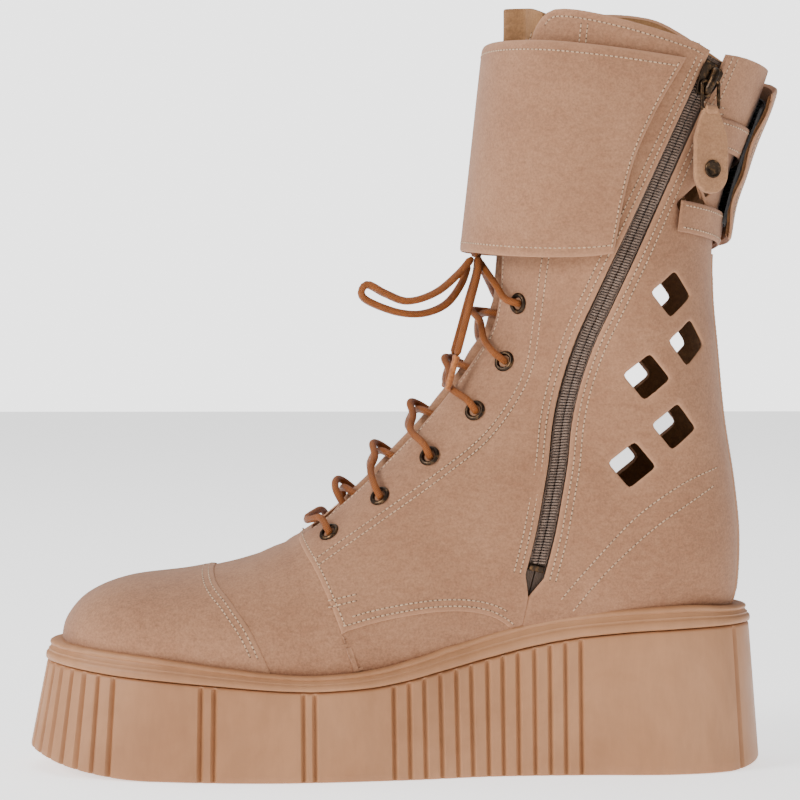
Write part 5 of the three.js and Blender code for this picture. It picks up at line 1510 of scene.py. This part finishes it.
def make_slider(pin, level):
    _, down = joint_line("slider_slide")
    up = Vector((-down).tolist())
    out = Vector(np.cross(level, [0, 0, 1.0]).tolist()).normalized()
    across = up.cross(out).normalized()
    out = across.cross(up).normalized()
    roof = plate_mesh(SLIDER_ROOF, 1.0, 2.2, 0.35)
    keel = plate_mesh(SLIDER_KEEL, 0.0, 1.1, 0.2)
    angle = np.linspace(0, math.pi, 17)
    bow = np.stack([0 * angle, 4.6 * np.cos(angle), 2.0 + 2.9 * np.sin(angle) ** 0.6], 1)
    bm = joined(roof, keel, tube_mesh(resampled(bow, 0.4), 0.95, 12, tall=1.7))
    place = frame_of(Vector(pin.tolist()) - out * SLIDER_TO_PIN, across, up, out)
    bmesh.ops.transform(bm, verts=bm.verts, matrix=place)
    finish_piece(new_object("zip_slider_body", bm, [BRASS], 50), "slider", "brass", "zip_slider")


def make_slider_and_pull():
    """The slider with its bridge, and the wire loop and the leather tab that hang from the pin."""
    pin, level = joint_line("puller_hinge")
    make_slider(pin, level)
    axis = Vector(level.tolist()).normalized()
    height = Vector((0, 0, 1))
    frame_at = frame_of(Vector(pin.tolist()), axis, height, axis.cross(height).normalized())
    x, high, low = LOOP_HALF - LOOP_CORNER, -LOOP_CORNER, LOOP_FOOT + LOOP_CORNER
    ring = []
    for cx, cy, start in ((-x, high, 90), (-x, low, 180), (x, low, 270), (x, high, 0)):
        for step in range(CORNER_STEPS + 1):
            a = math.radians(start + 90 * step / CORNER_STEPS)
            ring.append((cx + LOOP_CORNER * math.cos(a), cy + LOOP_CORNER * math.sin(a), 0))
    loop = tube_mesh(resampled(ring + ring[:1], 0.5), 0.72, 10, round_end=False)
    bmesh.ops.transform(loop, verts=loop.verts, matrix=frame_at)
    finish_piece(new_object("zip_pull_loop", loop, [BRASS], 80), "puller", "brass", "zip_puller")
    make_pull_tab(frame_at)
    make_rivet(frame_at)


TAB_HALF, TAB_LONG, TAB_THICK, TAB_BOW, RIVET_SHARE = 7.5, 33, 2.4, 0.3, 0.68


def tab_half(s):
    """Half width of the pull tab at share s of its length from the bar down."""
    neck = 3.6 + 3.9 * np.clip((s - 0.06) / 0.3, 0, 1) ** 0.8
    end = np.sqrt(np.maximum(1 - np.clip((s - 0.76) / 0.24, 0, 1) ** 2, 0))
    return np.minimum(neck, TAB_HALF) * end


def make_pull_tab(frame_at):
    """The leather leaf, with the eye that goes round the loop's foot."""
    def leaf(front):
        def place(u, w):
            across = u * 2 - 1
            s = 0.02 + 0.98 * w
            half = np.maximum(tab_half(s), 0.02)
            edge = np.minimum((1 - np.abs(across)) * half, (1 - s) * TAB_LONG)
            full = TAB_THICK / 2 * np.sqrt(np.clip(1 - (1 - np.clip(edge / 0.8, 0, 1)) ** 2, 0, 1))
            z = full * front + TAB_BOW * np.sin(math.pi * s)
            return np.column_stack([across * half, LOOP_FOOT + 1.2 - s * TAB_LONG, z])
        return mapped_grid(36, 90, place)
    bm = joined(leaf(1), leaf(-1))
    bmesh.ops.remove_doubles(bm, verts=bm.verts, dist=0.015)
    bmesh.ops.recalc_face_normals(bm, faces=bm.faces)
    eye = tube_mesh(np.stack([np.linspace(-2.7, 2.7, 12), np.full(12, LOOP_FOOT), np.zeros(12)], 1), 2.0, 16)
    whole = joined(bm, eye)
    bmesh.ops.transform(whole, verts=whole.verts, matrix=frame_at)
    finish_piece(new_object("pull_tab_leaf", whole, [TAB_LEATHER], 60), "tab", "nubuck", "pull_tab")


def make_rivet(frame_at):
    """A rivet with a rolled cap in front and a flat one behind."""
    cap = TAB_THICK / 2 + GAP
    profile = [
        (0.05, -cap - 0.9), (2.6, -cap - 0.9), (3.4, -cap - 0.2), (3.4, -cap + 0.1), (1.6, -cap + 0.2),
        (1.6, cap - 0.2), (3.4, cap - 0.2), (3.45, cap + 0.25), (3.2, cap + 0.6), (2.75, cap + 0.55),
        (2.4, cap + 0.1), (1.2, cap - 0.15), (0.05, cap - 0.2),
    ]
    rivet = lathed(profile, 30)
    place = Matrix.Translation((0, LOOP_FOOT - TAB_LONG * RIVET_SHARE, TAB_BOW))
    bmesh.ops.transform(rivet, verts=rivet.verts, matrix=frame_at @ place)
    finish_piece(new_object("pull_tab_rivet_cap", rivet, [BRASS], 35), "tab", "brass", "pull_tab_rivet")


make_tapes()
make_coils()
make_stop("zip_top_stop_clip", 271.5, "zip_top_stop")
make_stop("zip_bottom_stop_clip", 78.5, "zip_bottom_stop")
make_slider_and_pull()


# ---------------------------------------------------------------- eyelets

def make_eyelets():
    """Rolled rings with a flange on each face of the leather."""
    low = -LEATHER - 2 * GAP - FLANGE
    seat, top = 0.9, 1.75
    profile = [
        (2.3, low), (3.4, low), (3.6, low + 0.3), (3.4, low + 0.55), (2.75, low + 0.6), (2.75, seat),
        (4.05, seat), (4.15, seat + 0.2), (3.95, seat + 0.55), (3.4, top), (2.9, top + 0.02), (2.5, top - 0.2),
        (2.3, top - 0.7),
    ]
    for side, name in SIDES:
        for i, (x, z) in enumerate(EYELETS):
            v, r = locate(x, z, side)
            bm = lathed(profile, 32)
            place = standing(surface_point(v, r), surface_normal(v, r), (0, 0, 1))
            bmesh.ops.transform(bm, verts=bm.verts, matrix=place)
            node = "%s_eyelet_%d" % (name, i + 1)
            finish_piece(new_object("ring_" + node, bm, [BRASS], 60), "boot", "brass", node)


make_eyelets()


# ---------------------------------------------------------------- cuff and straps

CUFF_REAR_LOW = float(locate(81, 199, MEDIAL)[1])
CUFF_REAR_HIGH = float(locate(107.5, 273, MEDIAL)[1])
# From the front edge round: share round the last at the lower and upper edge, the two heights,
# and how far each stands off.
CUFF_RINGS = np.array([
    *([CUFF_REAR_LOW * share, CUFF_REAR_HIGH * share, *rest] for share, *rest in (
        (1, 199, 273, 1.3, 1.3), (0.85, 198, 275, 2.4, 1.6), (0.66, 198, 277.4, 6, 3),
        (0.45, 198.5, 279.6, 9.6, 4.8), (0.22, 199.5, 280.6, 12, 6.2),
    )),
    [0, 0, 200, 280.6, 12.8, 6.4], [0.13, 0.18, 200, 280.4, 12, 6.2], [0.26, 0.34, 200, 279, 9.6, 4.8],
    [0.4, 0.46, 200, 277.5, 5, 3.4], [0.54, 0.58, 200.5, 276, 3.4, 3], [0.66, 0.68, 201.5, 274.5, 3.4, 3.4],
    [0.76, 0.77, 203, 273, 4, 4],
])
TAIL_RINGS = np.array([
    [0.7632, 0.7732, 203, 272.5, 4, 4], [0.86, 0.865, 203.5, 271, 4.8, 4.8], [0.95, 0.95, 204, 269, 4.9, 4.9],
    [1.03, 1.03, 205, 266, 5, 5], [1.1, 1.1, 206, 263, 5.1, 5.1],
])


CUFF_LEATHER, SHEET_TALL = 2.2, 76
MIDDLE_X = 80


def edge_shares(count, long):
    """Rising shares from 0 to 1 with close rows at both ends, for a rolled edge."""
    fine = np.array(ROLL_BANDS) / long
    return np.concatenate([fine, np.linspace(fine[-1], 1 - fine[-1], count)[1:-1], 1 - fine[::-1]])


def away_from_middle(bm):
    """Turns a sheet round the shaft over if it faces inwards."""
    bm.faces.ensure_lookup_table()
    face = bm.faces[len(bm.faces) // 2]
    centre = face.calc_center_median()
    if Vector((centre.x - MIDDLE_X, centre.y, 0)).dot(face.normal) < 0:
        bmesh.ops.reverse_faces(bm, faces=bm.faces)


def on_sheet(rings, k, f, trim=0.0):
    """Share round the last, height and stand-off at shares k and f of a sheet round the shaft."""
    ring = spline(rings, k * (len(rings) - 1))
    r = ring[:, 0] + (ring[:, 1] - ring[:, 0]) * f
    r = np.where(r > 1, r - 2, r)
    z = ring[:, 2] + trim + (ring[:, 3] - ring[:, 2] - 2 * trim) * f
    sag = 0.5 * np.sin(k * 9.0) * np.sin(f * math.pi) + 0.35 * np.sin(k * 23 + f * 4)
    return r, z, ring[:, 4] + (ring[:, 5] - ring[:, 4]) * f + 0.3 * sag


def wrapped(rings, shift, wave_out=0.0, long=150, trim=0.0, rolled=(1, 1)):
    """A sheet round the shaft as a grid, its edges rolled over."""
    rows = edge_shares(44, SHEET_TALL)
    columns = edge_shares(int(long / 1.8), long)
    near = []

    def place(u, w):
        k = columns[np.rint(u * (len(columns) - 1)).astype(int)]
        f = rows[np.rint(w * (len(rows) - 1)).astype(int)]
        r, z, out = on_sheet(rings, k, f, trim)
        wide = np.minimum(np.where(rolled[0], k, 1), np.where(rolled[1], 1 - k, 1)) * long
        near.extend(np.minimum(np.minimum(f, 1 - f) * SHEET_TALL, wide))
        ripple = wave_out * np.sin(f * 15 + 0.8) * np.clip((k - 0.55) / 0.45, 0, 1) ** 2
        out = out + shift - rolled_drop(np.array(near), ROLL_WIDTH, ROLL_DEPTH) + ripple
        return surface(section_at_height(r, z + wave_out * 0.5 * np.sin(f * 9)), r, out)

    bm = mapped_grid(len(columns) - 1, len(rows) - 1, place)
    mark_wear(bm, near)
    away_from_middle(bm)
    return bm


def sheet_path(rings, k, f, shift):
    """A path over a sheet through shares k of its length and f of its height."""
    k, f = np.broadcast_arrays(k, f)
    r, z, out = on_sheet(rings, k, f)
    v = section_at_height(r, z)
    return surface(v, r, out + shift), surface_normal(v, r)


def sheet_stitches(rings, start, column):
    """Rows near a sheet's lower and upper edge, and near one end."""
    along, up = np.linspace(start, 1, 220), np.linspace(0.03, 0.97, 80)
    rows = []
    for k, f in ((along, 0.045), (along, 0.955), (column, up)):
        rows += stitches_on(*sheet_path(rings, k, f, CUFF_LEATHER))
    return rows


def make_cuff():
    bm = wrapped(CUFF_RINGS, CUFF_LEATHER, long=178, rolled=(1, 0))
    obj = thickened(new_object("cuff_leather", bm, [NUBUCK, FLESH]), CUFF_LEATHER)
    finish_piece(obj, "boot", "nubuck", "cuff")
    stitched("cuff_stitching", sheet_stitches(CUFF_RINGS, 0.02, 0.017))
    hinge, _ = sheet_path(TAIL_RINGS, np.array([0.0, 0.16]), 0.5, 0)
    bm = wrapped(TAIL_RINGS, CUFF_LEATHER, wave_out=0.7, long=58, rolled=(0, 1))
    tail = thickened(new_object("cuff_tail_leather", bm, [NUBUCK, FLESH]), CUFF_LEATHER)
    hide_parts("cuff_tail")
    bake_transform(tail)
    stitched("cuff_tail_stitching", sheet_stitches(TAIL_RINGS, 0.24, 0.94), "tail")
    make_hooks()


def make_hooks():
    """The hook tape inside the tail, with a few dozen rows of short hooks."""
    rings = TAIL_RINGS[1:]
    bm = wrapped(rings, -GAP, long=42, trim=6)
    obj = thickened(new_object("hook_tape_base", bm, [HOOKS]), 0.5, inner=0)
    finish_piece(obj, "tail", "hook_tape", "hook_tape")
    tuft = bmesh.new()
    bmesh.ops.create_cone(tuft, cap_ends=True, segments=4, radius1=0.2, radius2=0.12, depth=0.8)
    shape = template(tuft, "tuft")
    places = []
    for row, f in enumerate(np.linspace(0.12, 0.88, 40)):
        points, normals = sheet_path(rings, np.linspace(0.04, 0.96, 220), f, -GAP - 0.75)
        for i in range(4 + (row % 2) * 4, 216, 8):
            places.append(standing(points[i], -normals[i], (0, 0, 1)))
    obj = new_object("hook_tape_hooks", scattered(shape, places), [HOOKS], 60)
    finish_piece(obj, "tail", "hook_tape")


STRAP_HALF, STRAP_LEATHER, STRAP_LIFT, STRAP_END = 6.0, 1.7, 0.9, -1.3
STRAP_OUT = STRAP_LIFT + STRAP_LEATHER + 0.9
STRAPS = (("upper_strap", 90, -0.74, 246, 236), ("lower_strap", 95, -0.69, 213.5, 204))


def make_strap(node, long, start, high, low):
    """A strap from beside the zip round the back, falling from one height to another."""
    columns = edge_shares(int(long / 2), long)
    rows = edge_shares(8, STRAP_HALF * 2)
    ring = start + (STRAP_END - start) * columns
    ring = np.where(ring < -1, ring + 2, ring)
    v = section_at_height(ring, high + (low - high) * columns)
    middle, normal = surface_point(v, ring), surface_normal(v, ring)
    across = np.cross(np.gradient(middle, axis=0), normal)
    across /= np.linalg.norm(across, axis=1, keepdims=True)
    across *= np.sign(across[:, 2:3])

    def place(u, w):
        i = np.rint(u * (len(columns) - 1)).astype(int)
        f = rows[np.rint(w * (len(rows) - 1)).astype(int)]
        k = columns[i]
        near = np.minimum(np.minimum(f, 1 - f) * STRAP_HALF * 2, np.minimum(k, 1 - k) * long)
        seat = STRAP_OUT - rolled_drop(near, 1.4, 0.8)
        side = (f * 2 - 1) * STRAP_HALF
        return middle[i] + across[i] * side[:, None] + normal[i] * seat[:, None]

    bm = mapped_grid(len(columns) - 1, len(rows) - 1, place)
    away_from_middle(bm)
    name = node + "_leather"
    finish_piece(thickened(new_object(name, bm, [SOFT_NUBUCK, FLESH]), STRAP_LEATHER), "boot", "nubuck", node)
    places = []
    for side in (-4.2, 4.2):
        places += stitches_on(middle[4:-4] + across[4:-4] * side + normal[4:-4] * STRAP_OUT, normal[4:-4])
    stitched(name + "_stitching", places)


make_cuff()
for strap in STRAPS:
    make_strap(*strap)


# ---------------------------------------------------------------- floor and light

FLOOR_GAP, FLOOR_GLOW, ROOM_LIGHT, BACKDROP, LIT_HEIGHT = 0.0002, 1.25, 0.46, 2.9, 0.14
# Each light's place and size in metres, and its power in watts.
LIGHTS = (
    ("key", (-1.7, -1.0, 1.1), 0.9, 42), ("fill", (1.4, -1.2, 0.7), 1.2, 5), ("top", (-0.3, 0.4, 1.9), 1.6, 17),
)


def make_stage():
    """A pale floor, a pale backdrop that lights less than it shows, and three soft lights."""
    bm = bmesh.new()
    bmesh.ops.create_grid(bm, x_segments=2, y_segments=2, size=4)
    mesh = template(bm, "floor")
    floor = bpy.data.objects.new("floor", mesh)
    bpy.context.scene.collection.objects.link(floor)
    floor.location.z = SOLE_LOW[2] - FLOOR_GAP
    mat, _, shader = new_material("pale_floor", 0.9)
    shader.inputs["Base Color"].default_value = (0.93, 0.93, 0.93, 1)
    shader.inputs["Emission Color"].default_value = (1, 1, 1, 1)
    shader.inputs["Emission Strength"].default_value = FLOOR_GLOW
    mesh.materials.append(mat)
    world = bpy.data.worlds.new("studio")
    world.use_nodes = True
    nodes, links = world.node_tree.nodes, world.node_tree.links
    soft = nodes["Background"]
    soft.inputs["Strength"].default_value = ROOM_LIGHT
    bright = nodes.new("ShaderNodeBackground")
    bright.inputs["Strength"].default_value = BACKDROP
    for background in (soft, bright):
        background.inputs["Color"].default_value = (1, 1, 1, 1)
    seen = nodes.new("ShaderNodeMixShader")
    links.new(nodes.new("ShaderNodeLightPath").outputs["Is Camera Ray"], seen.inputs["Fac"])
    links.new(soft.outputs["Background"], seen.inputs[1])
    links.new(bright.outputs["Background"], seen.inputs[2])
    links.new(seen.outputs["Shader"], nodes["World Output"].inputs["Surface"])
    bpy.context.scene.world = world
    for name, place, size, power in LIGHTS:
        data = bpy.data.lights.new(name, "AREA")
        data.size, data.energy = size, power
        lamp = bpy.data.objects.new(name, data)
        bpy.context.scene.collection.objects.link(lamp)
        lamp.location = place
        aim = Vector((0, 0, LIT_HEIGHT)) - Vector(place)
        lamp.rotation_euler = aim.to_track_quat("-Z", "Y").to_euler()


make_stage()
